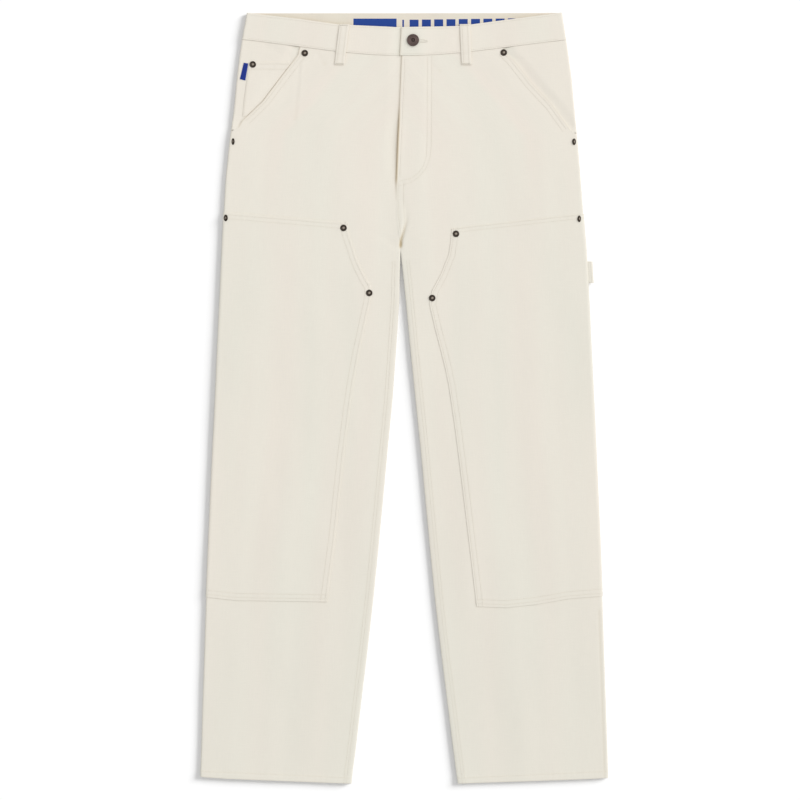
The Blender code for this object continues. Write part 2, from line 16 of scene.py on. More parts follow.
import bmesh
import bpy
import numpy as np
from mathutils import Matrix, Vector


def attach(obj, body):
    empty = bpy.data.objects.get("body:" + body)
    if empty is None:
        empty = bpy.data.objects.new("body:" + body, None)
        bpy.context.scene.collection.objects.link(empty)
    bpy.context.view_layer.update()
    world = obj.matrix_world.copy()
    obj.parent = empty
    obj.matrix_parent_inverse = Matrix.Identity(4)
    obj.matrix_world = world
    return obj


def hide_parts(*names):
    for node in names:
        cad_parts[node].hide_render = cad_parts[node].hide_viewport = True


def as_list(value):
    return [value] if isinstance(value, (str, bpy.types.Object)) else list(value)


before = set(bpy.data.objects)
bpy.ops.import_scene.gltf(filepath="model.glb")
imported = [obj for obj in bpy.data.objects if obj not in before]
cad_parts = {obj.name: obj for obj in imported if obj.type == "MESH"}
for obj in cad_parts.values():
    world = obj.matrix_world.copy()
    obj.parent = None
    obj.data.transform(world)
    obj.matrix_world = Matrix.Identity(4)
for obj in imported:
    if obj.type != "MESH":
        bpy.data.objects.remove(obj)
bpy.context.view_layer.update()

logging.basicConfig(level=logging.INFO, format="%(message)s")
log = logging.getLogger("jeans")

Array = np.ndarray
Reading = Callable[[Array], Array]
Color = tuple[float, float, float]
Value = Union[bpy.types.NodeSocket, float]

# The pattern drawing: x runs right and y runs down, in steps of STEP millimetres
STEP = 1.4
DRAWING_CENTRE_X = 404.2
DRAWING_CENTRE_Y = 398.15
METRES_PER_MM = 0.001

# Sizes across the cloth, in millimetres: the CAD part's, but for tighter folds and flatter upper layers
SEAM_GAP = 0.3
CLOTH = 1.4
BAND_CLOTH = 2.0
PATCH_CLOTH = 0.7
FACING_CLOTH = 1.2
POCKET_CLOTH = 0.8
TAB_CLOTH = 0.5
LOOP_CLOTH = 1.6
FRONT_TOP = 5.2
BAND_TOP = 6.2
FOLD_RADIUS = 2.6
HEM_RISE = 0.8
HEM_DEPTH = 9.0
LAP_RISE = 0.9
LAP_SINK = 0.8
LAP_UNDER = 12.0
LAP_FLAT = 30.0
LAP_FADE = 15.0
LAP_SINK_RUN = 20.0
BAND_LAP_RISE = 1.1
BAND_LAP_SINK = 1.2
BAND_UNDER = 25.0
BAND_LAP_FADE = 23.0
FACING_UNDER = 12.0
FACING_DEPTH = CLOTH + SEAM_GAP
FACING_SLOPE = 20.0
PATCH_WRAP = 0.5
LOOP_SETTLE = 0.5
OPENING_FADE = 13.0
POCKET_GAPE_REACH = 9.0
FLY_GAPE_REACH = 7.0
FLY_GAPE_RISE = 1.1
FLY_GAPE_SINK = 1.3
RIVET_SEAT = 0.12
BUTTON_SEAT = 0.25
PATCH_RISE = PATCH_CLOTH + 0.1
POCKET_RISE = POCKET_CLOTH + 0.1
FRONT_MIDDLE = FRONT_TOP / 2.0 + SEAM_GAP / 2.0
BACK_MIDDLE = FRONT_TOP / 2.0 - SEAM_GAP / 2.0

# Painted shade and painted shadows that darken the cloth's colour in seam channels, along edges, in the
# fly's gap, along the pocket openings and inside the back band: shares from 0 to 1, widths and fades in
# millimetres
SEAM_PAINTED_SHADE = 0.03
RIDGE_PAINTED_SHADE = 0.3
EDGE_PAINTED_SHADE = 0.03
EDGE_PAINTED_SHADE_WIDTH = 1.3
POCKET_PAINTED_SHADOW_WIDTH = 1.2
POCKET_PAINTED_SHADOW_FADE = 5.0
FLY_PAINTED_SHADOW = 0.2
FLY_PAINTED_SHADOW_DEEP = 0.6
FLY_PAINTED_SHADOW_REACH = 1.5
FLY_PAINTED_SHADOW_FADES = (12.0, 36.0)
BAND_PAINTED_SHADE_WIDTH = 1.2
BAND_END_PAINTED_SHADOW = 0.3
# Inside the back band: partly a darker tone of the inner cloth, partly painted shade of the hollow, deepest
# next to the front's top edge
BAND_INSIDE_TONE_AND_PAINTED_SHADE = 0.2
BAND_INSIDE_PAINTED_SHADE_FADE = 4.0
LOOP_PAINTED_SHADE = 0.12

# Painted shade that darkens the cloth from the waist to the hems, in place of the light's fall-off, and a
# cooler colour towards the hems: two heights in metres, then shares
FALLOFF_AND_COOLING_TOP = 0.45
FALLOFF_AND_COOLING_BASE = -0.4
PAINTED_FALLOFF_START = 1.018
PAINTED_FALLOFF = 0.043
WARMTH_FALL = 0.6

# Sewing, in millimetres
SEWN_GAP = 0.1
EDGE_ROUND = 1.0
EDGE_DRAW_IN = 0.46
BAND_DRAW_IN = 0.26
CHANNEL_WIDTH = 1.45
PUCKER_PITCH = 8.5
STITCH_PITCH = 3.0
STITCH_LENGTH = 2.45
THREAD_WIDTH = 0.62
THREAD_RISE = 0.14
ROW_STEP = 1.6
BAND_ROW_INSET = 2.6

# Plan steps of the fine grids, in millimetres
FINE_STEP = 2.8
BACK_STEP = 8.0


def mm_x(steps: float | Array) -> Array:
    """Gives a drawing x in millimetres of the garment's frame."""
    return (np.asarray(steps, float) - DRAWING_CENTRE_X) * STEP


def mm_y(steps: float | Array) -> Array:
    """Gives a drawing y in millimetres of the garment's frame."""
    return (DRAWING_CENTRE_Y - np.asarray(steps, float)) * STEP


def smooth(share: Array | float) -> Array:
    """Gives 0 below 0, 1 above 1 and an even curve between."""
    share = np.clip(share, 0.0, 1.0)
    return share * share * (3.0 - 2.0 * share)


def bowed(start: Sequence[float], end: Sequence[float], bow: float, evenness: float = 1.0) -> list[Array]:
    """Draws a line that sags half way between its ends.

    Args:
        start: First point of the drawing.
        end: Last point of the drawing.
        bow: Sag half way, in steps of the drawing.
        evenness: Share of the sag that is a parabola. The rest keeps the ends straighter.

    Returns:
        The points of the line.
    """
    first = np.array(start, float)
    last = np.array(end, float)
    points = []
    for share in np.linspace(0.0, 1.0, 49):
        sag = evenness * 4.0 * share * (1.0 - share) + (1.0 - evenness) * math.sin(math.pi * share) ** 2
        points.append(first + (last - first) * share + (0.0, bow * sag))
    return points


class Line:
    """One line of the drawing, read as x at a height or as height at an x."""

    def __init__(self, *points: Sequence[float], ease: float = 0.0) -> None:
        """Reads the line's points.

        Args:
            points: Points (x, y) of the drawing.
            ease: Millimetres over which its corners are rounded.
        """
        drawn = np.array(points, float)
        self.x = mm_x(drawn[:, 0])
        self.y = mm_y(drawn[:, 1])
        self.ease = ease

    def x_at(self, y: Array | float) -> Array:
        """Reads x at a height.

        Args:
            y: Heights in millimetres.

        Returns:
            x in millimetres.
        """
        order = np.argsort(self.y)
        heights, places = self.y[order], self.x[order]
        if not self.ease:
            return np.interp(y, heights, places)
        shifts = (-self.ease, -0.5 * self.ease, 0.0, 0.5 * self.ease, self.ease)
        return sum(np.interp(np.asarray(y) + shift, heights, places) for shift in shifts) / len(shifts)

    def y_at(self, x: Array | float) -> Array:
        """Reads the height at an x."""
        order = np.argsort(self.x)
        return np.interp(x, self.x[order], self.y[order])

    def points(self) -> Array:
        """Gives the line's own points."""
        return np.stack((self.x, self.y), axis=-1)


@dataclass(frozen=True)
class Side:
    """The lines of one half. inward is 1 where x grows from the side fold to the middle."""

    name: str
    inward: int
    fold: Line
    inner: Line
    hem: Line
    opening: Line
    gape: float
    # painted shadow along the pocket opening, as a share
    pocket_painted_shadow: float
    inner_radius: float
    inner_fullness: float
    outseam_hollow: float


RIGHT = Side(
    name="right",
    inward=1,
    gape=0.8,
    pocket_painted_shadow=0.34,
    inner_radius=2.6,
    inner_fullness=2.0,
    outseam_hollow=0.0,
    fold=Line(
        (247.4, 13), (245.4, 20), (243.6, 30), (241.7, 40), (239.6, 55), (236.5, 80), (233.8, 110),
        (229.5, 140), (225.4, 180), (223.4, 217), (221.8, 250), (219.6, 300), (217.2, 350), (215, 400),
        (212.5, 450), (210.2, 500), (208, 550), (205.9, 600), (204.3, 650), (202.6, 700), (201.1, 750),
        (200.1, 778), ease=12.0,
    ),
    inner=Line(
        (400.6, 253), (399.9, 275), (399.5, 300), (396.1, 350), (392.6, 400), (387.7, 450), (383.1, 500),
        (378.3, 550), (373.3, 600), (367.6, 650), (361.6, 700), (355.7, 750), (353, 770), (351.4, 784),
        ease=8.0,
    ),
    hem=Line((200, 777), (215, 778.1), (230, 779), (280, 781), (310, 782.2), (351.4, 783.7)),
    opening=Line(
        (230.8, 131), (232.8, 130.4), (236, 129), (238.6, 127), (242, 121), (263, 101), (284, 73),
        (298, 55), (300, 46),
    ),
)
LEFT = Side(
    name="left",
    inward=-1,
    gape=0.1,
    pocket_painted_shadow=0.12,
    inner_radius=11.0,
    inner_fullness=3.0,
    outseam_hollow=0.45,
    fold=Line(
        (561.6, 13), (563, 20), (564.8, 30), (566.3, 40), (568.6, 55), (572, 80), (574.6, 110),
        (577.6, 140), (580.9, 180), (583.6, 217), (586.4, 250), (589.2, 300), (591.5, 350), (594, 400),
        (596.3, 450), (598.5, 500), (600.7, 550), (602.5, 600), (604.2, 650), (605.9, 700), (607.5, 750),
        (608.3, 778), ease=12.0,
    ),
    inner=Line(
        (400.6, 253), (403.1, 275), (405.6, 300), (410.3, 350), (415.5, 400), (420.6, 450), (425.3, 500),
        (430, 550), (435, 600), (440.7, 650), (447, 700), (453.2, 750), (455.8, 770), (458, 784), ease=8.0,
    ),
    hem=Line((458, 783.7), (475, 783), (500, 782.2), (530, 781.2), (560, 780.1), (590, 779), (608.3, 778)),
    opening=Line(
        (577, 134), (575, 133.4), (571.9, 131.6), (569.6, 129), (551.4, 103.8), (531.7, 82.8),
        (513.5, 59.6), (505, 53), (503, 46),
    ),
)
SIDES = (RIGHT, LEFT)

FLY = Line(
    (401.8, 40), (401.8, 56), (400, 98), (398, 140), (396.4, 180), (396.2, 216), (400.5, 245), (400.6, 253)
)
CENTRE_BACK = Line((400.6, 0), (400.6, 253))
BAND_END = Line((401.2, 27), (399.6, 56))
FRONT_SEAM = Line(*bowed((241.4, 39.5), (566.6, 40), 16.0, evenness=0.55))
FRONT_WAIST = Line(
    (247, 12.9), (300, 19), (339, 24.5), (401, 27.3), (460, 26), (471, 24.5), (520, 18), (562, 12.6)
)
BACK_SEAM = Line(*bowed((241.4, 39.5), (566.6, 40), 1.8))
BACK_WAIST = Line((247, 12.9), (403, 12.8), (562, 12.6))
CROTCH_HIGH = float(mm_y(240))
CROTCH_LOW = float(mm_y(264))
UNDERLAP_ENDS = (float(mm_y(204)), float(mm_y(192)))
LAP_ENDS = (float(mm_y(208)), float(mm_y(176)))
FLY_GAPE_ENDS = (float(mm_y(190)), float(mm_y(96)))
# Ends of the painted shadow in the fly's gap
FLY_PAINTED_SHADOW_ENDS = (float(mm_y(187)), float(mm_y(100)))
POCKET_GAPE_ENDS = (float(mm_y(134)), float(mm_y(60)))


@dataclass(frozen=True)
class PatchDrawing:
    """The outline of one knee patch."""

    side: Side
    edge: Line
    top: Line
    bottom: Line


PATCHES = (
    PatchDrawing(
        side=RIGHT,
        edge=Line(
            (327, 602), (335, 541), (339.5, 498), (344.5, 452), (351, 402), (354, 382), (359.5, 352),
            (366, 322), (371.5, 297), (371, 285.6), (366.6, 279), (362.1, 270.3), (357, 258.8),
            (352, 243), (348.5, 233), (347.5, 222.4),
        ),
        top=Line((223.4, 212), (347.5, 222.4)),
        bottom=Line((206, 597.3), (236, 600.6), (327, 602)),
    ),
    PatchDrawing(
        side=LEFT,
        edge=Line(
            (476.5, 606.7), (471, 560), (465, 510), (459, 460), (453.7, 419.5), (448.6, 385.5),
            (445, 368), (441, 351.5), (435, 329), (429.3, 304), (431.8, 291), (441.3, 273),
            (448.7, 254), (450.8, 240), (451.5, 228.8),
        ),
        top=Line((451.5, 228.8), (466, 227), (584, 213.8)),
        bottom=Line((476.5, 606.7), (507, 607.8), (537.8, 604.4), (568.4, 599), (603, 596.2)),
    ),
)

COIN_POCKET_EDGE = Line((249, 62), (246.6, 81), (244, 100), (242.4, 116))
COIN_POCKET_ENDS = (float(mm_y(116)), float(mm_y(62)))
TAB_CORNERS = ((243.8, 62.8), (248.2, 63.6), (245.4, 80.5), (239.9, 79.2))
BELT_LOOPS = (
    # side, x of the two edges at the top, x of the two edges at the bottom
    ("right", (339.2, 349.6), (334.2, 344.6)),
    ("left", (459.4, 470.2), (461.4, 471.6)),
)
BELT_LOOP_ROWS = (
    # y of the drawing, height of the underside over the floor in millimetres
    (65.0, 5.5), (58.0, 5.5), (53.0, 6.7), (46.0, 7.3), (38.0, 7.5), (30.0, 7.1), (24.3, 6.5),
)
HAMMER_LOOP_ENDS = (261.4, 282.9)
HAMMER_LOOP_SECTION = (
    # distance out from the fold, half thickness, both in millimetres
    (0.4, 1.3), (1.6, 1.32), (3.0, 1.3), (4.4, 1.26), (5.6, 1.18), (6.6, 1.0), (7.2, 0.8), (7.6, 0.52),
    (7.8, 0.22),
)

# Creases that show: a soft ridge, or a trough where the height is negative
CREASES = (
    # half width and height at the start and end, all in mm, painted shade at the end, points (x, y) of the
    # drawing
    (
        2.2, -0.2, -2.6, 1.6,
        ((404.4, 203), (406.5, 212), (406.5, 221), (403.4, 232.5), (401.0, 240), (400.6, 246)),
    ),
    (3.4, 0.1, 0.7, 0.0, ((401.4, 206), (402.0, 220), (400.0, 234))),
    (5.5, -0.1, -0.45, 0.0, ((372, 233), (386, 239), (397, 247))),
    (5.5, -0.1, -0.4, 0.0, ((430, 236), (415, 242), (404, 250))),
    (2.2, 0.5, 0.25, 0.0, ((302, 64), (300, 90), (297.8, 121))),
    (2.2, -0.4, -0.2, 0.12, ((299.6, 66), (297.6, 90), (295.4, 119))),
    (3.0, -0.45, -0.15, 0.1, ((318, 56), (324.7, 64))),
    (3.4, -0.5, -0.25, 0.12, ((266, 46.5), (276, 50), (284, 56))),
    (3.0, -0.5, -0.2, 0.12, ((287, 53), (292, 60))),
    (2.6, -0.35, -0.1, 0.1, ((431, 66), (440, 71))),
    (16.0, 0.3, 0.2, 0.0, ((334, 120), (318, 200))),
    (16.0, 0.2, 0.3, 0.0, ((500, 118), (515, 196))),
    (26.0, -0.35, -0.35, 0.0, ((300, 300), (292, 420))),
    (26.0, -0.35, -0.35, 0.0, ((508, 310), (520, 430))),
    (28.0, 0.3, 0.3, 0.0, ((282, 640), (275, 730))),
    (28.0, 0.3, 0.3, 0.0, ((528, 640), (532, 735))),
)
SWELLS = (
    # wavelength across and along in mm, phase, height in mm
    (140.0, 420.0, 0.4, 0.12),
    (86.0, -260.0, 1.9, 0.09),
    (61.0, 150.0, 3.3, 0.06),
    (210.0, 97.0, 5.0, 0.07),
)


def legs_apart(y: Array) -> Array:
    """Gives 0 above the crotch and 1 where each leg is a tube of its own."""
    return smooth((CROTCH_HIGH - y) / (CROTCH_HIGH - CROTCH_LOW))


def lap_share(y: Array) -> Array:
    """Gives 1 along the fly's opening and 0 below its base."""
    return smooth((y - LAP_ENDS[0]) / (LAP_ENDS[1] - LAP_ENDS[0]))


def segment_distance(x: Array, y: Array, path: Array) -> tuple[Array, Array]:
    """Measures how far points lie from a path, and where along it.

    Args:
        x: x of the points.
        y: y of the points.
        path: Points (x, y) of the path.

    Returns:
        The distance and the length along the path of its nearest point, in millimetres.
    """
    best = np.full(x.shape, 1e9)
    along = np.zeros(x.shape)
    run = 0.0
    for start, end in zip(path[:-1], path[1:], strict=True):
        step = end - start
        length = math.hypot(*step)
        share = np.clip(((x - start[0]) * step[0] + (y - start[1]) * step[1]) / length**2, 0.0, 1.0)
        gap = np.hypot(x - start[0] - share * step[0], y - start[1] - share * step[1])
        nearer = gap < best
        best = np.where(nearer, gap, best)
        along = np.where(nearer, run + share * length, along)
        run += length
    return best, along


def crease_place(x: Array, y: Array, points: Sequence[Sequence[float]]) -> tuple[Array, Array, float]:
    """Measures where points lie beside a crease.

    Args:
        x: x in millimetres.
        y: y in millimetres.
        points: The crease's points of the drawing.

    Returns:
        The distance from it, the length along it and its whole length, in millimetres.
    """
    path = drawn_path(*points)
    return *segment_distance(x, y, path), np.linalg.norm(np.diff(path, axis=0), axis=1).sum()


def relief(x: Array, y: Array) -> Array:
    """Works out the creases and swells that all layers of the front share.

    Args:
        x: x in millimetres.
        y: y in millimetres.

    Returns:
        Height in millimetres over the plain form.
    """
    total = np.zeros(np.broadcast(x, y).shape)
    for across, along, phase, height in SWELLS:
        total = total + height * np.sin(2.0 * math.pi * (x / across + y / along) + phase)
    for half_width, first, last, _, points in CREASES:
        gap, along, length = crease_place(x, y, points)
        height = first + (last - first) * along / length
        total = total + height * np.exp(-((gap / half_width) ** 2))
    return total


def crease_painted_shade(x: Array, y: Array) -> Array:
    """Works out the painted shade in the deep creases.

    Args:
        x: x in millimetres.
        y: y in millimetres.

    Returns:
        A share from 0 to 1.
    """
    total = np.zeros(np.broadcast(x, y).shape)
    for half_width, _, _, stain_and_painted_shade, points in CREASES:
        if not stain_and_painted_shade:
            continue
        gap, along, length = crease_place(x, y, points)
        total = np.maximum(total, stain_and_painted_shade * (along / length) ** 3 * np.exp(-((gap / (0.8 * half_width)) ** 2)))
    return total


def hump(value: Array, low: float, high: float) -> Array:
    """Gives 1 half way between two limits and 0 at and past them."""
    share = np.clip((value - low) / (high - low), 0.0, 1.0)
    return np.sin(math.pi * share) ** 2


def pocket_gape(side: Side, x: Array, y: Array) -> Array:
    """Works out how far the front stands off its facing at the pocket opening."""
    gap, _ = segment_distance(x, y, side.opening.points())
    return side.gape * hump(y, *POCKET_GAPE_ENDS) * np.exp(-((gap / POCKET_GAPE_REACH) ** 2))


def front_top(side: Side, x: Array, y: Array) -> Array:
    """Works out the height of the front's outer face away from the folds.

    Args:
        side: The half that it belongs to.
        x: x in millimetres.
        y: y in millimetres.

    Returns:
        Height in millimetres.
    """
    past_fly = x - FLY.x_at(y)
    gaping = hump(y, *FLY_GAPE_ENDS)
    if side is RIGHT:
        sunk = smooth((past_fly + LAP_SINK_RUN) / (LAP_SINK_RUN - 0.5))
        lap = -LAP_SINK * (1.0 + FLY_GAPE_SINK * gaping) * sunk * lap_share(y)
    else:
        lap = LAP_RISE * (1.0 - smooth((past_fly - LAP_FLAT) / LAP_FADE)) * lap_share(y)
        lap = lap + FLY_GAPE_RISE * gaping * np.exp(-((past_fly / FLY_GAPE_REACH) ** 2))
    over_hem = y - side.hem.y_at(x)
    hem = HEM_RISE * (1.0 - smooth((over_hem - HEM_DEPTH + 2.0) / 4.0))
    return FRONT_TOP + lap + hem + relief(x, y) + pocket_gape(side, x, y)


def fold_rise(distance: Array, radius: float, fullness: float) -> Array:
    """Gives 0 at a fold and 1 from its radius on, as a round or a squarer turn."""
    near = np.clip(1.0 - distance / radius, 0.0, 1.0)
    return (1.0 - near**fullness) ** (1.0 / fullness)


def turned_height(side: Side, x: Array, y: Array, top: Array, middle: float, depth: float) -> Array:
    """Works out the height of a face that turns down to the seam at the folds.

    Args:
        side: The half that it belongs to.
        x: x in millimetres.
        y: y in millimetres.
        top: Its height away from the folds.
        middle: Height of the seam at the folds.
        depth: Millimetres that it lies inside the outer face.

    Returns:
        Height in millimetres.
    """
    from_fold = side.inward * (x - side.fold.x_at(y)) - depth
    from_inner = side.inward * (side.inner.x_at(y) - x) - depth
    outer = fold_rise(from_fold, FOLD_RADIUS - depth, 2.0)
    inner = fold_rise(from_inner, side.inner_radius - depth, side.inner_fullness)
    apart = legs_apart(y)
    return middle + (top - middle) * outer * (1.0 - apart + apart * inner)


def front_height(side: Side, x: Array, y: Array, depth: float) -> Array:
    """Works out the front's height, a depth below its outer face."""
    return turned_height(side, x, y, front_top(side, x, y) - depth, FRONT_MIDDLE, depth)


def opened(side: Side, y: Array) -> Array:
    """Gives 0 at the lower end of the pocket opening and 1 a little above it."""
    return smooth((y - side.opening.y.min()) / OPENING_FADE)


def facing_dip(side: Side, x: Array, y: Array) -> Array:
    """Works out how far the facing lies below the front's face: least at the fold and the opening's end."""
    beside = side.inward * (side.opening.x_at(y) - x) - 1.0
    return FACING_DEPTH * (1.0 - smooth(beside / FACING_SLOPE)) * opened(side, y) + pocket_gape(side, x, y)


def facing_height(side: Side, x: Array, y: Array, depth: float) -> Array:
    """Works out the facing's height, a depth below its outer face."""
    top = front_top(side, x, y) - facing_dip(side, x, y) - depth
    return turned_height(side, x, y, top, FRONT_MIDDLE, depth)


def back_height(side: Side, x: Array, y: Array, depth: float) -> Array:
    """Works out the back's height, a depth above the underside."""
    return turned_height(side, x, y, np.full(np.shape(x), depth), BACK_MIDDLE, depth)


def offset_path(path: Array, offset: float) -> Array:
    """Moves a path to its left.

    Args:
        path: Points (x, y) in millimetres.
        offset: Millimetres to the left of its direction of travel.

    Returns:
        The moved points.
    """
    steps = np.diff(path, axis=0)
    steps = steps / np.linalg.norm(steps, axis=1)[:, None]
    left = np.stack((-steps[:, 1], steps[:, 0]), axis=-1)
    corners = np.concatenate((left[:1], left[:-1] + left[1:], left[-1:]))
    corners = corners / np.linalg.norm(corners, axis=1)[:, None]
    sharpness = np.concatenate(([1.0], np.sum(corners[1:-1] * left[1:], axis=1), [1.0]))
    return path + corners * (offset / np.maximum(sharpness, 0.5))[:, None]


def resampled(path: Array, step: float) -> Array:
    """Gives points at even steps along a path.

    Args:
        path: Points of the path.
        step: Longest step in millimetres.

    Returns:
        The new points.
    """
    lengths = np.linalg.norm(np.diff(path, axis=0), axis=1)
    run = np.concatenate(([0.0], np.cumsum(lengths)))
    count = max(2, int(math.ceil(run[-1] / step)) + 1)
    wanted = np.linspace(0.0, run[-1], count)
    return np.stack([np.interp(wanted, run, path[:, axis]) for axis in range(path.shape[1])], axis=-1)


@dataclass(frozen=True)
class Seam:
    """Rows of stitches along a guide, each offset in millimetres to the guide's left."""

    name: str
    guide: Array
    offsets: tuple[float, ...]
    channel: float = 0.13
    pucker: float = 0.09
    stitched: bool = True

    def rows(self) -> list[Array]:
        """Gives the rows of stitches."""
        return [offset_path(self.guide, offset) if offset else self.guide for offset in self.offsets]


def drawn_path(*points: Sequence[float]) -> Array:
    """Turns drawing points into a path."""
    drawn = np.array(points, float)
    return np.stack((mm_x(drawn[:, 0]), mm_y(drawn[:, 1])), axis=-1)


def line_path(line: Line, high: float, low: float, step: float = 20.0) -> Array:
    """Follows a line of the drawing downwards."""
    top, base = float(mm_y(high)), float(mm_y(low))
    y = np.linspace(top, base, max(2, int((top - base) / step) + 1))
    return np.stack((line.x_at(y), y), axis=-1)


class Layer(Enum):
    """What a panel lies on or with."""

    FRONT = "front"
    FACING = "facing"
    BACK = "back"


class Edge(Enum):
    """The four edges of a panel's grid."""

    START = "start"
    END = "end"
    TOP = "top"
    BOTTOM = "bottom"


@dataclass(frozen=True)
class Welt:
    """A band along an edge where the cloth is turned under or felled, so that it stands higher."""

    edge: Edge
    near: float
    far: float
    rise: float
    below: float = math.inf


def add_object(name: str, data: bpy.types.ID) -> bpy.types.Object:
    """Makes an object of the scene."""
    made = bpy.data.objects.new(name, data)
    bpy.context.scene.collection.objects.link(made)
    return made


class MeshMaker:
    """Makes mesh objects from arrays."""

    @staticmethod
    def make(
        name: str,
        points: Array,
        faces: Array,
        uv: Array | None = None,
        shade: Array | None = None,
        sharp_degrees: float = 50.0,
    ) -> bpy.types.Object:
        """Makes one object.

        Args:
            name: The object's name.
            points: Points in millimetres.
            faces: Quads as rows of four point numbers.
            uv: A UV for each point, in metres along the cloth.
            shade: A value for each point, kept as a point attribute: the painted shade on the cloth, the
                height share on the metal and the distance in from the edge on the tape.
            sharp_degrees: Angle past which an edge is shaded sharp.

        Returns:
            The object, linked to the scene.
        """
        corners = points[faces]
        signed = np.einsum(
            "ij,ij->i", corners[:, 0], np.cross(corners[:, 1], corners[:, 2])
        ) + np.einsum("ij,ij->i", corners[:, 0], np.cross(corners[:, 2], corners[:, 3]))
        if signed.sum() < 0.0:
            faces = faces[:, ::-1]
        mesh = bpy.data.meshes.new(name)
        mesh.vertices.add(len(points))
        mesh.vertices.foreach_set("co", (points * METRES_PER_MM).astype(np.float32).ravel())
        mesh.loops.add(faces.size)
        mesh.loops.foreach_set("vertex_index", faces.astype(np.int32).ravel())
        mesh.polygons.add(len(faces))
        mesh.polygons.foreach_set("loop_start", np.arange(0, faces.size, 4, dtype=np.int32))
        mesh.polygons.foreach_set("use_smooth", np.ones(len(faces), bool))
        mesh.update(calc_edges=True)
        if uv is not None:
            layer = mesh.uv_layers.new(name="cloth")
            layer.data.foreach_set("uv", uv[faces.ravel()].astype(np.float32).ravel())
        if shade is not None:
            # Kept as a point attribute: the painted shade on the cloth
            attribute = mesh.attributes.new("sewn", "FLOAT", "POINT")
            attribute.data.foreach_set("value", shade.astype(np.float32).ravel())
        mesh.set_sharp_from_angle(angle=math.radians(sharp_degrees))
        return add_object(name, mesh)

    @staticmethod
    def slab(
        name: str,
        face: Array,
        back: Array,
        uv: Array,
        shade: Array | None = None,
        sharp_degrees: float = 50.0,
    ) -> bpy.types.Object:
        """Makes a closed wall between two grids of the same size.

        Args:
            name: The object's name.
            face: Outer grid, rows by columns by 3, in millimetres.
            back: Inner grid.
            uv: UV grid, rows by columns by 2, in metres.
            shade: Grid of that point attribute: the painted shade on the cloth, the distance in from the
                edge on the tape.
            sharp_degrees: Angle past which an edge is shaded sharp.

        Returns:
            The object.
        """
        rows, columns = face.shape[:2]
        count = rows * columns
        number = np.arange(count).reshape(rows, columns)
        quads = np.stack((number[:-1, :-1], number[:-1, 1:], number[1:, 1:], number[1:, :-1]), axis=-1)
        quads = quads.reshape(-1, 4)
        rim = np.concatenate((number[0, :], number[1:, -1], number[-1, -2::-1], number[-2:0:-1, 0]))
        after = np.roll(rim, -1)
        sides = np.stack((after, rim, rim + count, after + count), axis=-1)
        faces = np.concatenate((quads, quads[:, ::-1] + count, sides))
        points = np.concatenate((face.reshape(-1, 3), back.reshape(-1, 3)))
        both_uv = np.tile(uv.reshape(-1, 2), (2, 1))
        both_shade = None if shade is None else np.tile(shade.ravel(), 2)
        return MeshMaker.make(name, points, faces, both_uv, both_shade, sharp_degrees)

    @staticmethod
    def turned(
        name: str, profile: Array, place: Array, direction: Array, steps: int, squash: float = 1.0
    ) -> bpy.types.Object:
        """Makes a turned solid that stands on a place.

        Args:
            name: The object's name.
            profile: Rows of radius and height in millimetres, from the base's edge to the top.
            place: Centre of its base in millimetres.
            direction: The way that it points.
            steps: Faces round it.
            squash: Its width across the garment as a share of its length.

        Returns:
            The object, with the height share in the point attribute that holds the cloth's painted shade.
        """
        up = direction / np.linalg.norm(direction)
        first = np.cross((0.0, 1.0, 0.0), up)
        first = first / np.linalg.norm(first)
        second = np.cross(up, first)
        turn = 2.0 * math.pi * np.arange(steps) / steps
        ring = squash * np.cos(turn)[:, None] * first + np.sin(turn)[:, None] * second
        profile = np.concatenate(([[0.0005, profile[0][1]]], profile, [[0.0005, profile[-1][1]]]))
        levels = [place + radius * ring + height * up for radius, height in profile]
        points = np.concatenate(levels)
        number = np.arange(len(profile) * steps).reshape(len(profile), steps)
        turned = np.roll(number, -1, axis=1)
        faces = np.stack((number[:-1], turned[:-1], turned[1:], number[1:]), axis=-1).reshape(-1, 4)
        low = profile[:, 1].min()
        share = (profile[:, 1] - low) / (profile[:, 1].max() - low)
        made = MeshMaker.make(name, points, faces, None, np.repeat(share, steps), 35.0)
        MeshMaker.close_poles(made)
        return made

    @staticmethod
    def close_poles(made: bpy.types.Object) -> None:
        """Merges the tiny rings at the two ends of a turned solid.

        Args:
            made: The object.
        """
        cell = bmesh.new()
        cell.from_mesh(made.data)
        bmesh.ops.remove_doubles(cell, verts=cell.verts, dist=3e-6)
        cell.to_mesh(made.data)
        cell.free()


def grid_points(x: Array, y: Array, z: Array) -> Array:
    """Gives a grid as an array of points."""
    return np.stack((x, y, z), axis=-1)


def face_area(face: Array) -> float:
    """Measures a grid's area."""
    diagonal = face[1:, 1:] - face[:-1, :-1]
    other = face[1:, :-1] - face[:-1, 1:]
    return float(np.linalg.norm(np.cross(diagonal, other), axis=-1).sum() / 2.0) * METRES_PER_MM**2


@dataclass(frozen=True)
class Across:
    """Where a grid's columns lie: distances from its start and end edges, and steps between."""

    start: tuple[float, ...]
    end: tuple[float, ...]
    step: float

    def columns(self, width: float) -> list[tuple[Edge | None, float]]:
        """Lists the columns of a grid.

        Args:
            width: The grid's greatest width in millimetres.

        Returns:
            For each column the edge that it is measured from, or None in the middle, and its value.
        """
        count = max(2, int(math.ceil((width - self.start[-1] - self.end[0]) / self.step)))
        found: list[tuple[Edge | None, float]] = [(Edge.START, distance) for distance in self.start]
        found += [(None, index / count) for index in range(1, count)]
        found += [(Edge.END, distance) for distance in self.end]
        return found


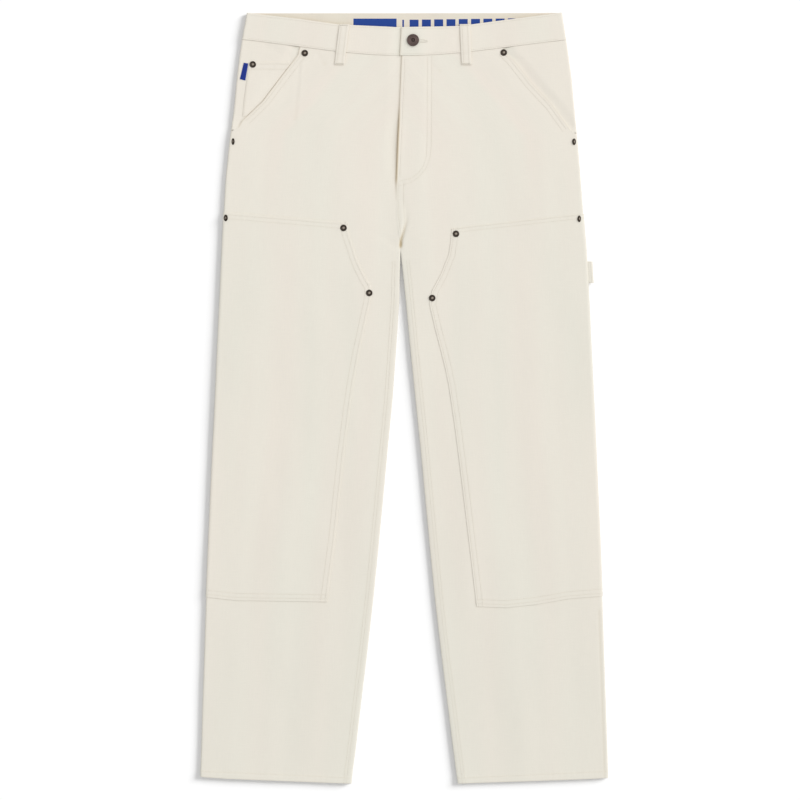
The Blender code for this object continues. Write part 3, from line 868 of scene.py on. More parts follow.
FOLD_COLUMNS = tuple(FOLD_RADIUS * (1.0 - math.cos(math.radians(angle))) for angle in range(0, 91, 15))
INSEAM_COLUMNS = (20.0, 17.5, 15.0, 13.2, 12.0, 11.0, 10.0, 9.1, 8.2, 7.2, 6.2, 5.2, 4.2, 3.4)
EDGE_COLUMNS = (0.0, 0.35, 1.0)
HEM_MARKS = (0.0, 0.35, 1.0, 2.5, 4.0, 5.5, 7.0, 8.0, 9.0, 10.0, 11.5, 13.5, 16.0)


def heights_between(marks: Sequence[float], step: float) -> Array:
    """Fills in heights so that no step between marks is longer than step.

    Args:
        marks: Rising heights in millimetres that have to be met.
        step: Longest step.

    Returns:
        The heights.
    """
    found = [marks[0]]
    for low, high in zip(marks[:-1], marks[1:], strict=True):
        count = max(1, int(math.ceil((high - low) / step)))
        found += [low + (high - low) * index / count for index in range(1, count + 1)]
    return np.array(found)


@dataclass
class LaidPanel:
    """A panel of cloth that lies on the garment: a grid between four lines, as a thin shell."""

    name: str
    side: Side
    slot: str
    wall: float
    base: float
    start: Reading
    end: Reading
    bottom: Reading
    top: Reading
    across: Across
    heights: Array
    width: float
    flat: tuple[float, float]
    start_fold: bool = False
    end_fold: bool = False
    layer: Layer = Layer.FRONT
    free: tuple[Edge, ...] = ()
    welts: tuple[Welt, ...] = ()
    seams: tuple[Seam, ...] = ()
    area: float = field(default=0.0, init=False)

    def inset(self, edge: Edge, y: Array, depth: float) -> Array:
        """Works out how far a deeper face starts inside the outer one at a fold.

        Args:
            edge: START or END.
            y: Heights in millimetres.
            depth: Depth of the face.

        Returns:
            The inset in millimetres.
        """
        if edge is Edge.START and self.start_fold:
            off_fold = np.abs(self.start(y) - self.side.fold.x_at(y)) / FOLD_RADIUS
            return depth * np.clip(1.0 - off_fold, 0.0, 1.0)
        if edge is Edge.END and self.end_fold:
            return depth * legs_apart(y)
        return np.zeros_like(y)

    def plan(self, depth: float) -> tuple[Array, Array, Array]:
        """Lays the grid out in plan.

        Args:
            depth: Depth of the face below the outer one.

        Returns:
            x, y and the distance across from the start, in millimetres.
        """
        columns = self.across.columns(self.width)
        heights = self.heights
        share = ((heights - heights[0]) / (heights[-1] - heights[0]))[:, None]
        y = np.repeat(heights[:, None], len(columns), axis=1)
        x = np.zeros_like(y)
        out = np.zeros_like(y)
        for _ in range(6):
            for index, (edge, value) in enumerate(columns):
                row = y[:, index]
                first = self.start(row)
                width = self.side.inward * (self.end(row) - first)
                if edge is Edge.START:
                    across = self.turned(value, self.inset(Edge.START, row, depth), self.start_fold)
                elif edge is Edge.END:
                    across = width - self.turned(value, self.inset(Edge.END, row, depth), self.end_fold)
                else:
                    near, far = self.across.start[-1], self.across.end[0]
                    across = near + (width - near - far) * value
                x[:, index] = first + self.side.inward * across
                out[:, index] = across
            y = self.bottom(x[:1]) * (1.0 - share) + self.top(x[-1:]) * share
        return x, y, out

    @staticmethod
    def turned(distance: float, inset: Array, folded: bool) -> Array:
        """Moves a column of a deeper face in at a fold."""
        if not folded or distance >= FOLD_RADIUS:
            return np.full_like(inset, distance)
        return inset + (FOLD_RADIUS - inset) * distance / FOLD_RADIUS

    def edge_distance(self, edge: Edge, x: Array, y: Array) -> Array:
        """Measures how far points lie inside an edge.

        Args:
            edge: The edge.
            x: x in millimetres.
            y: y in millimetres.

        Returns:
            Distance in millimetres.
        """
        if edge is Edge.START:
            return self.side.inward * (x - self.start(y))
        if edge is Edge.END:
            return self.side.inward * (self.end(y) - x)
        if edge is Edge.TOP:
            return self.top(x) - y
        return y - self.bottom(x)

    def sewn(self, x: Array, y: Array) -> tuple[Array, Array]:
        """Works out the seam channels, puckers and welts of the outer face, and the painted shade that
        darkens its colour.

        Args:
            x: x in millimetres.
            y: y in millimetres.

        Returns:
            Height in millimetres over the plain face, and the painted shade of each point: in the seam
            channels, at the free edges and, on a front, along the pocket opening, in the fly's gap and in
            the deep creases.
        """
        total = np.zeros(np.shape(x))
        shade = np.zeros(np.shape(x))
        for welt in self.welts:
            inside = self.edge_distance(welt.edge, x, y)
            rise = smooth((inside - welt.near + 1.0) / 1.5) * (1.0 - smooth((inside - welt.far) / 2.0))
            total = total + welt.rise * rise * (1.0 - smooth((y - welt.below) / 20.0))
        for number, seam in enumerate(self.seams):
            for row in seam.rows():
                gap, along = segment_distance(x, y, row)
                wander = np.sin(2.0 * math.pi * along / PUCKER_PITCH + 1.7 * number)
                wander = wander * (0.65 + 0.35 * np.sin(along / 23.0 + number))
                channel = np.exp(-((gap / CHANNEL_WIDTH) ** 2))
                total = total - seam.channel * channel * (1.0 + 0.35 * wander)
                total = total + seam.pucker * wander * np.exp(-(((gap - 3.0) / 3.2) ** 2))
                # Painted shade in the seam's channel, deeper in a hollow that has no stitches
                stain_and_painted_shade = SEAM_PAINTED_SHADE if seam.stitched else RIDGE_PAINTED_SHADE * seam.channel
                shade = np.maximum(shade, stain_and_painted_shade * channel)
        # Painted shade along the free edges
        for edge in self.free:
            inside = self.edge_distance(edge, x, y)
            shade = np.maximum(shade, EDGE_PAINTED_SHADE * np.exp(-((inside / EDGE_PAINTED_SHADE_WIDTH) ** 2)))
        # A front also gets painted shadows along its pocket opening, in the fly's gap and in the deep
        # creases
        if self.name == f"front_{self.side.name}":
            shade = np.maximum(shade, self.painted_front_shadows(x, y))
        return total, shade

    def painted_front_shadows(self, x: Array, y: Array) -> Array:
        """Works out the painted shadows of a front: along its pocket edge, in the fly's gap and in the deep
        creases.

        Args:
            x: x in millimetres.
            y: y in millimetres.

        Returns:
            A share from 0 to 1.
        """
        beside, _ = segment_distance(x, y, self.side.opening.points())
        above_end = smooth((y - self.side.opening.y.min() - 2.0) / POCKET_PAINTED_SHADOW_FADE)
        pocket = self.side.pocket_painted_shadow * above_end * np.exp(-((beside / POCKET_PAINTED_SHADOW_WIDTH) ** 2))
        found = np.maximum(crease_painted_shade(x, y), pocket)
        # Painted shadow in the fly's gap, deepest where the fly gapes
        low, high = FLY_PAINTED_SHADOW_ENDS
        deep = smooth((y - low) / FLY_PAINTED_SHADOW_FADES[0]) * smooth((high - y) / FLY_PAINTED_SHADOW_FADES[1])
        fly = np.exp(-((np.abs(x - FLY.x_at(y)) / FLY_PAINTED_SHADOW_REACH) ** 4)) * lap_share(y)
        return np.clip(np.maximum(found, (FLY_PAINTED_SHADOW + FLY_PAINTED_SHADOW_DEEP * deep) * fly), 0.0, 1.0)

    def height(self, x: Array, y: Array, depth: float) -> Array:
        """Works out a face's height without its sewing.

        Args:
            x: x in millimetres.
            y: y in millimetres.
            depth: Depth below the panel's outer face.

        Returns:
            Height in millimetres.
        """
        if self.layer is Layer.BACK:
            return back_height(self.side, x, y, depth)
        form = facing_height if self.layer is Layer.FACING else front_height
        return form(self.side, x, y, self.base + depth)

    def rounding(self, x: Array, y: Array) -> Array:
        """Works out how far a turned edge rounds off.

        Args:
            x: x in millimetres.
            y: y in millimetres.

        Returns:
            Millimetres by which each face draws in.
        """
        total = np.zeros(np.shape(x))
        for edge in self.free:
            near = np.clip(1.0 - self.edge_distance(edge, x, y) / EDGE_ROUND, 0.0, 1.0)
            total = np.maximum(total, EDGE_DRAW_IN * self.wall * (1.0 - np.sqrt(1.0 - near**2)))
        return total

    def face_height(self, x: Array, y: Array) -> Array:
        """Works out the outer face's height, sewing and all."""
        return self.height(x, y, 0.0) + self.sewn(x, y)[0] - self.rounding(x, y)

    def build(self, dress: Dresser) -> bpy.types.Object:
        """Makes the panel's shell.

        Args:
            dress: What gives it its finish and its place in the frame.

        Returns:
            The object.
        """
        x, y, across = self.plan(0.0)
        sewn, shade = self.sewn(x, y)
        if self.layer is Layer.BACK:
            outer = self.height(x, y, 0.0)
        else:
            off_fold = self.side.inward * (x - self.side.fold.x_at(y))
            folded = smooth(off_fold / 3.0)
            outer = self.height(x, y, 0.0) + sewn * folded - self.rounding(x, y)
        face = grid_points(x, y, outer)
        inner_x, inner_y, _ = self.plan(self.wall)
        inner = self.height(inner_x, inner_y, self.wall)
        if self.layer is not Layer.BACK:
            inner = inner + self.rounding(inner_x, inner_y)
        back = grid_points(inner_x, inner_y, inner)
        uv = np.stack((across, y), axis=-1) * METRES_PER_MM
        made = MeshMaker.slab(f"cloth_{self.name}", face, back, uv, shade)
        self.area = face_area(face)
        dress.cloth(made, self.name, self.slot)
        return made


@dataclass
class HalfWaistband:
    """One half of the waistband: out from the front end, over the side fold and in to the centre back."""

    side: Side
    front_count: int = 78
    back_count: int = 40
    front_run: float = 230.0
    face_depth: float = 38.0
    rows_at: tuple[float, ...] = (0.0, 0.35, 1.0, 2.2, 3.4, 6.0, 10.0, 15.0)
    area: float = field(default=0.0, init=False)
    length: float = field(default=0.0, init=False)

    @property
    def name(self) -> str:
        """The CAD node that it stands for."""
        return f"waistband_{self.side.name}"

    def columns(self) -> list[tuple[str, float]]:
        """Lists the columns along the band.

        Returns:
            The stretch that each lies on, and its share or angle.
        """
        front, back = self.front_count, self.back_count
        found = [("front", 1.0 - in_from_end / self.front_run) for in_from_end in EDGE_COLUMNS]
        found += [("front", index / front) for index in range(front - 1, -1, -1)]
        found += [("fold", math.radians(angle)) for angle in range(75, -76, -15)]
        found += [("back", index / back) for index in range(back + 1)]
        return found

    def shares(self) -> Array:
        """Gives the rows up the band, closer together at its edges."""
        low = [row / self.face_depth for row in self.rows_at]
        return np.array(low + [0.5] + [1.0 - share for share in reversed(low)])

    def lap(self, x: Array, y: Array) -> Array:
        """Works out how the front end rises over the other, or sinks under it.

        Args:
            x: x in millimetres.
            y: y in millimetres.

        Returns:
            Height in millimetres.
        """
        past_end = x - BAND_END.x_at(y)
        if self.side is RIGHT:
            return -BAND_LAP_SINK * smooth((past_end + LAP_SINK_RUN) / (LAP_SINK_RUN - 0.5))
        return BAND_LAP_RISE * (1.0 - smooth((past_end - BAND_UNDER - 2.0) / BAND_LAP_FADE))

    def face_height(self, x: Array, y: Array) -> Array:
        """Works out the height of the front's outer face."""
        return BAND_TOP + self.lap(x, y) + relief(x, y) - 0.12

    def grid(self, depth: float) -> tuple[Array, Array]:
        """Lays out one face of the band.

        Args:
            depth: Depth below the outer face in millimetres.

        Returns:
            Its points, and the painted shade of each one: along the front's edges, at its end and, inside
            the back, a darker tone with painted shade that deepens next to the front's top edge.
        """
        columns = self.columns()
        share = self.shares()[:, None]
        y = np.repeat(mm_y(48.0 - 30.0 * share), len(columns), axis=1)
        x = np.zeros_like(y)
        rise = np.zeros(len(columns))
        for _ in range(6):
            for index, (stretch, value) in enumerate(columns):
                fold = self.side.fold.x_at(y[:, index])
                if stretch == "front":
                    end = BAND_END.x_at(y[:, index]) + (BAND_UNDER if self.side is RIGHT else 0.0)
                    across = FOLD_RADIUS + (self.side.inward * (end - fold) - FOLD_RADIUS) * value
                    rise[index] = 1.0
                elif stretch == "fold":
                    across = depth + (FOLD_RADIUS - depth) * (1.0 - math.cos(value))
                    rise[index] = math.sin(value)
                else:
                    end = CENTRE_BACK.x_at(y[:, index]) - self.side.inward * 0.005
                    across = FOLD_RADIUS + (self.side.inward * (end - fold) - FOLD_RADIUS) * value
                    rise[index] = -1.0
                x[:, index] = fold + self.side.inward * across
            front = 0.5 + 0.5 * rise
            low = FRONT_SEAM.y_at(x[:1]) * front + BACK_SEAM.y_at(x[:1]) * (1.0 - front) + SEWN_GAP / 2.0
            high = FRONT_WAIST.y_at(x[-1:]) * front + BACK_WAIST.y_at(x[-1:]) * (1.0 - front)
            y = low * (1.0 - share) + high * share
        middle = BAND_TOP / 2.0
        top = BAND_TOP + self.lap(x, y) + relief(x, y) - depth
        z = np.where(rise > 0.0, middle + (top - middle) * rise, middle + (middle - depth) * rise)
        from_edge = np.minimum(y - low, high - y)
        near = np.clip(1.0 - from_edge / EDGE_ROUND, 0.0, 1.0)
        end_gap = np.abs(x - x[:, :1])
        near = np.where(rise > 0.99, np.maximum(near, np.clip(1.0 - end_gap / EDGE_ROUND, 0.0, 1.0)), near)
        drawn_in = BAND_DRAW_IN * BAND_CLOTH * (1.0 - np.sqrt(1.0 - near**2)) * np.abs(rise)
        z = z - np.sign(rise) * drawn_in if depth == 0.0 else z + np.sign(rise) * drawn_in
        if depth == 0.0:
            channel = np.exp(-(((from_edge - BAND_ROW_INSET) / 1.2) ** 2)) * np.clip(rise, 0.0, 1.0)
            z = z - 0.08 * channel
        # Inside the back: partly a darker tone of the inner cloth, partly painted shade of the hollow,
        # deeper next to the front's top edge. On the front: painted shade along the edges and a painted
        # shadow at the end.
        behind = np.exp(-np.clip(y - FRONT_WAIST.y_at(x), 0.0, None) / BAND_INSIDE_PAINTED_SHADE_FADE)
        inside = BAND_INSIDE_TONE_AND_PAINTED_SHADE + BAND_INSIDE_TONE_AND_PAINTED_SHADE * behind
        edges = EDGE_PAINTED_SHADE * np.exp(-((from_edge / BAND_PAINTED_SHADE_WIDTH) ** 2))
        edges = np.maximum(edges, BAND_END_PAINTED_SHADOW * np.exp(-((end_gap / BAND_PAINTED_SHADE_WIDTH) ** 2)))
        shade = np.where(rise < 0.0, inside * np.clip(-3.0 * rise, 0.0, 1.0), edges)
        return grid_points(x, y, np.maximum(z, 0.0)), shade

    def build(self, dress: Dresser) -> bpy.types.Object:
        """Makes the band's shell.

        Args:
            dress: What gives it its finish and its place in the frame.

        Returns:
            The object.
        """
        face, shade = self.grid(0.0)
        back, _ = self.grid(BAND_CLOTH)
        middle = len(face) // 2
        steps = np.linalg.norm(np.diff(face[middle], axis=0), axis=1)
        along = np.concatenate(([0.0], np.cumsum(steps)))
        along = np.abs(along - along[-1])
        uv = np.stack(np.broadcast_arrays(along[None, :], face[..., 1]), axis=-1) * METRES_PER_MM
        made = MeshMaker.slab(f"cloth_{self.name}", face, back, uv, shade)
        self.area = face_area(face)
        self.length = float(along.max()) * METRES_PER_MM
        dress.cloth(made, self.name, "canvas_band")
        return made


@dataclass
class BeltLoop:
    """A belt loop that arches over the waistband."""

    side_name: str
    top_edges: tuple[float, float]
    base_edges: tuple[float, float]
    row_shares: tuple[float, float] = (0.25, 0.75)
    crown: float = 0.2
    edge_share: float = 0.08
    end_run: float = 1.6
    round_off: float = 0.8
    row_count: int = 34
    across: tuple[float, ...] = (0.0, 0.03, 0.08, 0.2, 0.27, 0.4, 0.5, 0.6, 0.73, 0.8, 0.92, 0.97, 1.0)
    area: float = field(default=0.0, init=False)

    @property
    def name(self) -> str:
        """The CAD node that it stands for."""
        return f"belt_loop_{self.side_name}"

    def plan(self) -> tuple[Array, Array, Array]:
        """Lays the loop out.

        Returns:
            x, y and the height of its underside, in millimetres.
        """
        table = np.array(BELT_LOOP_ROWS)
        drawn = np.linspace(table[0, 0], table[-1, 0], self.row_count)
        shifts = (-2.0, -1.0, 0.0, 1.0, 2.0)
        under = sum(np.interp(-(drawn + shift), -table[:, 0], table[:, 1]) for shift in shifts) / len(shifts)
        under = under - LOOP_SETTLE * smooth((under - 5.6) / 0.6)
        along = (drawn - drawn[0]) / (drawn[-1] - drawn[0])
        left = self.base_edges[0] + (self.top_edges[0] - self.base_edges[0]) * along
        right = self.base_edges[1] + (self.top_edges[1] - self.base_edges[1]) * along
        share = np.array(self.across)[None, :]
        x = mm_x(left[:, None] * (1.0 - share) + right[:, None] * share)
        y = np.repeat(mm_y(drawn)[:, None], len(self.across), axis=1)
        return x, y, np.repeat(under[:, None], len(self.across), axis=1)

    def face_height(self, x: Array, y: Array) -> Array:
        """Works out the height of the loop's outer face."""
        _, rows, under = self.plan()
        return np.interp(y, rows[:, 0], under[:, 0]) + LOOP_CLOTH - 0.05

    def build(self, dress: Dresser) -> bpy.types.Object:
        """Makes the loop's shell.

        Args:
            dress: What gives it its finish and its place in the frame.

        Returns:
            The object.
        """
        x, y, under = self.plan()
        share = np.array(self.across)[None, :]
        crown = self.crown * (1.0 - (2.0 * share - 1.0) ** 2)
        channel = np.exp(-(((np.abs(share - 0.5) - 0.25) / 0.07) ** 2))
        edge = np.clip(1.0 - np.minimum(share, 1.0 - share) / self.edge_share, 0.0, 1.0)
        ends = np.clip(1.0 - np.minimum(y - y[0], y[-1] - y) / self.end_run, 0.0, 1.0)
        drawn_in = self.round_off * (1.0 - np.sqrt(1.0 - np.maximum(edge, ends) ** 2))
        face = grid_points(x, y, under + LOOP_CLOTH - self.crown + crown - 0.1 * channel - drawn_in)
        back = grid_points(x, y, under + 0.45 * drawn_in)
        uv = np.stack((x - x[0, 0], y), axis=-1) * METRES_PER_MM
        # Painted shade in the two channels and along the loop's edges and ends
        shade = np.maximum(SEAM_PAINTED_SHADE * channel, LOOP_PAINTED_SHADE * np.maximum(edge, ends)) * np.ones_like(x)
        made = MeshMaker.slab(f"cloth_{self.name}", face, back, uv, shade)
        self.area = face_area(face)
        dress.cloth(made, self.name, "canvas_band")
        return made

    def seams(self) -> list[Seam]:
        """Gives the two rows of stitches along the loop.

        Returns:
            The seams.
        """
        x, y, _ = self.plan()
        found = []
        for share in self.row_shares:
            column = x[:, 0] + (x[:, -1] - x[:, 0]) * share
            path = np.stack((column, y[:, 0]), axis=-1)[1:-1]
            found.append(Seam(f"{self.name}_row", path[::-1], (0.0,)))
        return found


@dataclass
class HammerLoop:
    """The short folded loop that stands out of the left outseam."""

    rows: int = 15

    def build(self, dress: Dresser) -> bpy.types.Object:
        """Makes the loop.

        Args:
            dress: What gives it its finish and its place in the frame.

        Returns:
            The object.
        """
        y = mm_y(np.linspace(*HAMMER_LOOP_ENDS, self.rows))
        section = np.array(HAMMER_LOOP_SECTION)
        x = LEFT.fold.x_at(y)[:, None] + section[:, 0][None, :]
        grid_y = np.repeat(y[:, None], len(section), axis=1)
        ends = np.clip(1.0 - np.minimum(y[0] - y, y - y[-1]) / 2.2, 0.0, 1.0)[:, None]
        half = section[:, 1][None, :] * (0.55 + 0.45 * np.sqrt(1.0 - ends**2))
        ripple = 0.08 * np.sin(grid_y / 2.3)
        middle = FRONT_TOP / 2.0
        face = grid_points(x, grid_y, middle + half + ripple * (half > 0.9))
        back = grid_points(x, grid_y, middle - half)
        uv = np.stack((x - x.min(), grid_y), axis=-1) * METRES_PER_MM
        made = MeshMaker.slab("cloth_hammer_loop", face, back, uv, np.zeros_like(x))
        dress.cloth(made, "hammer_loop", "canvas_band")
        return made

    @staticmethod
    def face_height(x: Array, y: Array) -> Array:
        """Works out the height of the loop's outer face."""
        return np.full(np.shape(x), FRONT_TOP / 2.0 + 1.28)

    @staticmethod
    def seams() -> list[Seam]:
        """Gives the rows of stitches along the loop.

        Returns:
            The seams.
        """
        found = []
        for out in (2.2, 5.2):
            y = mm_y(np.linspace(HAMMER_LOOP_ENDS[0] + 1.0, HAMMER_LOOP_ENDS[1] - 1.0, 8))
            found.append(Seam("hammer_loop_row", np.stack((LEFT.fold.x_at(y) + out, y), axis=-1), (0.0,)))
        return found


@dataclass
class SideTab:
    """The plain woven tab in the right side seam."""

    rows: int = 24
    columns: int = 10
    width: float = 6.8
    length: float = 23.0

    def build(self, dress: Dresser) -> bpy.types.Object:
        """Makes the tab.

        Args:
            dress: What gives it its finish and its place in the frame.

        Returns:
            The object.
        """
        corners = np.array(TAB_CORNERS)
        along = np.linspace(0.0, 1.0, self.rows)[:, None]
        across = np.linspace(0.0, 1.0, self.columns)[None, :]
        top = corners[0] * (1.0 - across[..., None]) + corners[1] * across[..., None]
        base = corners[3] * (1.0 - across[..., None]) + corners[2] * across[..., None]
        drawn = base * (1.0 - along[..., None]) + top * along[..., None]
        x, y = mm_x(drawn[..., 0]), mm_y(drawn[..., 1])
        from_sides = np.minimum(across * self.width, (1.0 - across) * self.width)
        edge = np.minimum(from_sides, np.minimum(along, 1.0 - along) * self.length)
        drawn_in = 0.2 * (1.0 - np.sqrt(1.0 - np.clip(1.0 - edge / 0.8, 0.0, 1.0) ** 2))
        lift = SEAM_GAP + TAB_CLOTH
        face = grid_points(x, y, facing_height(RIGHT, x, y, -lift) - drawn_in + 0.1)
        back = grid_points(x, y, facing_height(RIGHT, x, y, -SEAM_GAP))
        uv = np.stack(np.broadcast_arrays(across * 0.0068, along * 0.023), axis=-1)
        made = MeshMaker.slab("cloth_side_tab", face, back, uv, edge * np.ones_like(x))
        dress.tape(made, "side_tab")
        return made


# Turned trim: radius and height in millimetres
RIVET_PROFILE = (
    (3.5, -1.2), (4.1, 0.0), (4.45, 0.08), (4.65, 0.3), (4.62, 0.55), (4.4, 0.82), (4.05, 0.98), (3.6, 0.96),
    (3.25, 0.78), (2.95, 0.66), (2.6, 0.7), (2.35, 0.95), (2.1, 1.32), (1.75, 1.58), (1.2, 1.72),
    (0.6, 1.77), (0.2, 1.78),
)
BUTTON_PROFILE = (
    (3.4, 0.0), (3.4, 0.9), (7.6, 1.05), (8.2, 1.3), (8.5, 1.75), (8.42, 2.2), (8.05, 2.52), (7.55, 2.62),
    (7.15, 2.5), (6.9, 2.3), (6.55, 2.26), (6.2, 2.42), (5.85, 2.58), (5.5, 2.58), (5.15, 2.42),
    (4.85, 2.3), (4.5, 2.34), (4.15, 2.52), (3.75, 2.66), (3.3, 2.62), (2.9, 2.4), (2.65, 2.05),
    (2.4, 1.75), (1.9, 1.62), (1.45, 1.7), (1.2, 2.0), (0.85, 2.22), (0.4, 2.3), (0.15, 2.31),
)
BUTTON_PLACE = (413.0, 40.5)
RIVETS = (
    # name, x and y of the drawing, mm of cloth on the front there, degrees that it leans out, share of width
    ("rivet_pocket_top_right", 304.8, 53.2, 0.0, 0.0, 1.0),
    ("rivet_coin_pocket", 252.8, 64.6, POCKET_RISE, 0.0, 1.0),
    ("rivet_pocket_base_right", 233.2, 141.6, 0.0, 24.0, 0.5),
    ("rivet_patch_side_right", 225.9, 218.0, PATCH_RISE, 20.0, 0.66),
    ("rivet_patch_corner_right", 343.5, 228.0, PATCH_RISE, 0.0, 1.0),
    ("rivet_patch_point_right", 369.2, 293.0, PATCH_RISE, 0.0, 1.0),
    ("rivet_pocket_top_left", 503.7, 52.6, 0.0, 0.0, 1.0),
    ("rivet_pocket_base_left", 574.0, 141.8, 0.0, 20.0, 0.62),
    ("rivet_patch_side_left", 579.1, 218.9, PATCH_RISE, 20.0, 0.6),
    ("rivet_patch_corner_left", 455.9, 233.9, PATCH_RISE, 0.0, 1.0),
    ("rivet_patch_point_left", 432.2, 298.1, PATCH_RISE, 0.0, 1.0),
)


@dataclass
class MetalTrim:
    """The rivets and the shank button."""

    rivet_steps: int = 40
    button_steps: int = 72

    def build(self, dress: Dresser) -> list[bpy.types.Object]:
        """Makes the trim.

        Args:
            dress: What gives it its finish and its place in the frame.

        Returns:
            The objects.
        """
        made = []
        for name, drawn_x, drawn_y, cloth, lean, width_share in RIVETS:
            side = RIGHT if drawn_x < DRAWING_CENTRE_X else LEFT
            x, y = float(mm_x(drawn_x)), float(mm_y(drawn_y))
            height = float(front_height(side, np.float64(x), np.float64(y), -cloth))
            place = np.array((x, y, height + RIVET_SEAT))
            out = math.radians(lean)
            direction = np.array((-side.inward * math.sin(out), 0.0, math.cos(out)))
            rivet = MeshMaker.turned(
                f"metal_{name}", np.array(RIVET_PROFILE), place, direction, self.rivet_steps, width_share
            )
            dress.metal(rivet, name)
            made.append(rivet)
        x, y = float(mm_x(BUTTON_PLACE[0])), float(mm_y(BUTTON_PLACE[1]))
        place = np.array((x, y, BAND_TOP + BAND_LAP_RISE + BUTTON_SEAT))
        lean = np.array((-0.03, -0.02, 1.0))
        button = MeshMaker.turned("metal_button", np.array(BUTTON_PROFILE), place, lean, self.button_steps)
        dress.metal(button, "button")
        made.append(button)
        return made


class Graph:
    """Short calls for making a node tree."""

    def __init__(self, tree: bpy.types.NodeTree) -> None:
        """Keeps the tree."""
        self.tree = tree

    def put(self, kind: str, inputs: dict | None = None, **settings: object) -> bpy.types.Node:
        """Adds a node.

        Args:
            kind: The node's type.
            inputs: Values or output sockets by input name or number.
            settings: The node's own settings.

        Returns:
            The node.
        """
        node = self.tree.nodes.new(kind)
        for name, value in settings.items():
            setattr(node, name, value)
        self.feed(node, inputs or {})
        return node

    def feed(self, node: bpy.types.Node, inputs: dict) -> None:
        """Gives inputs of a node their links, or their values on their own sockets.

        Args:
            node: The node.
            inputs: Values or output sockets by input name or number.
        """
        for key, value in inputs.items():
            if isinstance(value, bpy.types.NodeSocket):
                self.tree.links.new(value, node.inputs[key])
            else:
                node.inputs[key].default_value = value

    def math(self, operation: str, first: Value, second: Value = 0.0, third: Value = 0.0) -> Value:
        """Adds a Math node."""
        return self.put("ShaderNodeMath", {0: first, 1: second, 2: third}, operation=operation).outputs[0]

    def mix(self, share: Value, first: object, second: object, **settings: object) -> Value:
        """Adds a Mix node for colours."""
        inputs = {0: share, 6: first, 7: second}
        return self.put("ShaderNodeMix", inputs, data_type="RGBA", **settings).outputs[2]

    def noise(self, place: Value, scale: float, detail: float) -> Value:
        """Adds a Noise Texture node."""
        inputs = {"Vector": place, "Scale": scale, "Detail": detail}
        return self.put("ShaderNodeTexNoise", inputs).outputs[0]

    def bump(self, height: Value, distance: float, **inputs: Value) -> Value:
        """Adds a Bump node."""
        return self.put("ShaderNodeBump", {"Height": height, "Distance": distance, **inputs}).outputs[0]

    def split(self, place: Value) -> Sequence[Value]:
        """Gives x, y and z of a vector."""
        return self.put("ShaderNodeSeparateXYZ", {0: place}).outputs

    def attribute(self) -> Value:
        """Reads the point attribute: the cloth's painted shade, the metal's height share, the tape's
        distance in from its edge.
        """
        return self.put("ShaderNodeAttribute", attribute_name="sewn").outputs["Fac"]


FLOAT = "NodeSocketFloat"
VECTOR = "NodeSocketVector"


def make_group(name: str, inputs: dict[str, str], outputs: dict[str, str]) -> tuple[Graph, Sequence[Value]]:
    """Starts a shader node group.

    Args:
        name: The group's name.
        inputs: Socket type of each input, by its name.
        outputs: Socket type of each output, by its name.

    Returns:
        The group's graph, and what it is given.
    """
    tree = bpy.data.node_groups.new(name, "ShaderNodeTree")
    for way, sockets in (("INPUT", inputs), ("OUTPUT", outputs)):
        for socket_name, kind in sockets.items():
            tree.interface.new_socket(name=socket_name, in_out=way, socket_type=kind)
    graph = Graph(tree)
    return graph, graph.put("NodeGroupInput").outputs


def opaque(color: Color, share: float = 1.0) -> tuple[float, ...]:
    """Gives a share of a colour, with its alpha."""
    return (*(share * part for part in color), 1.0)


SLUB_NOISES = (
    # scale along x, y and z of the UV, detail: two ways of yarns, drift of shade, drift of colour
    ((900.0, 45.0, 1.0), 2.0),
    ((60.0, 1100.0, 1.0), 2.0),
    ((24.0, 2.6, 1.0), 1.5),
    ((17.0, 1.9, 7.0), 1.5),
)


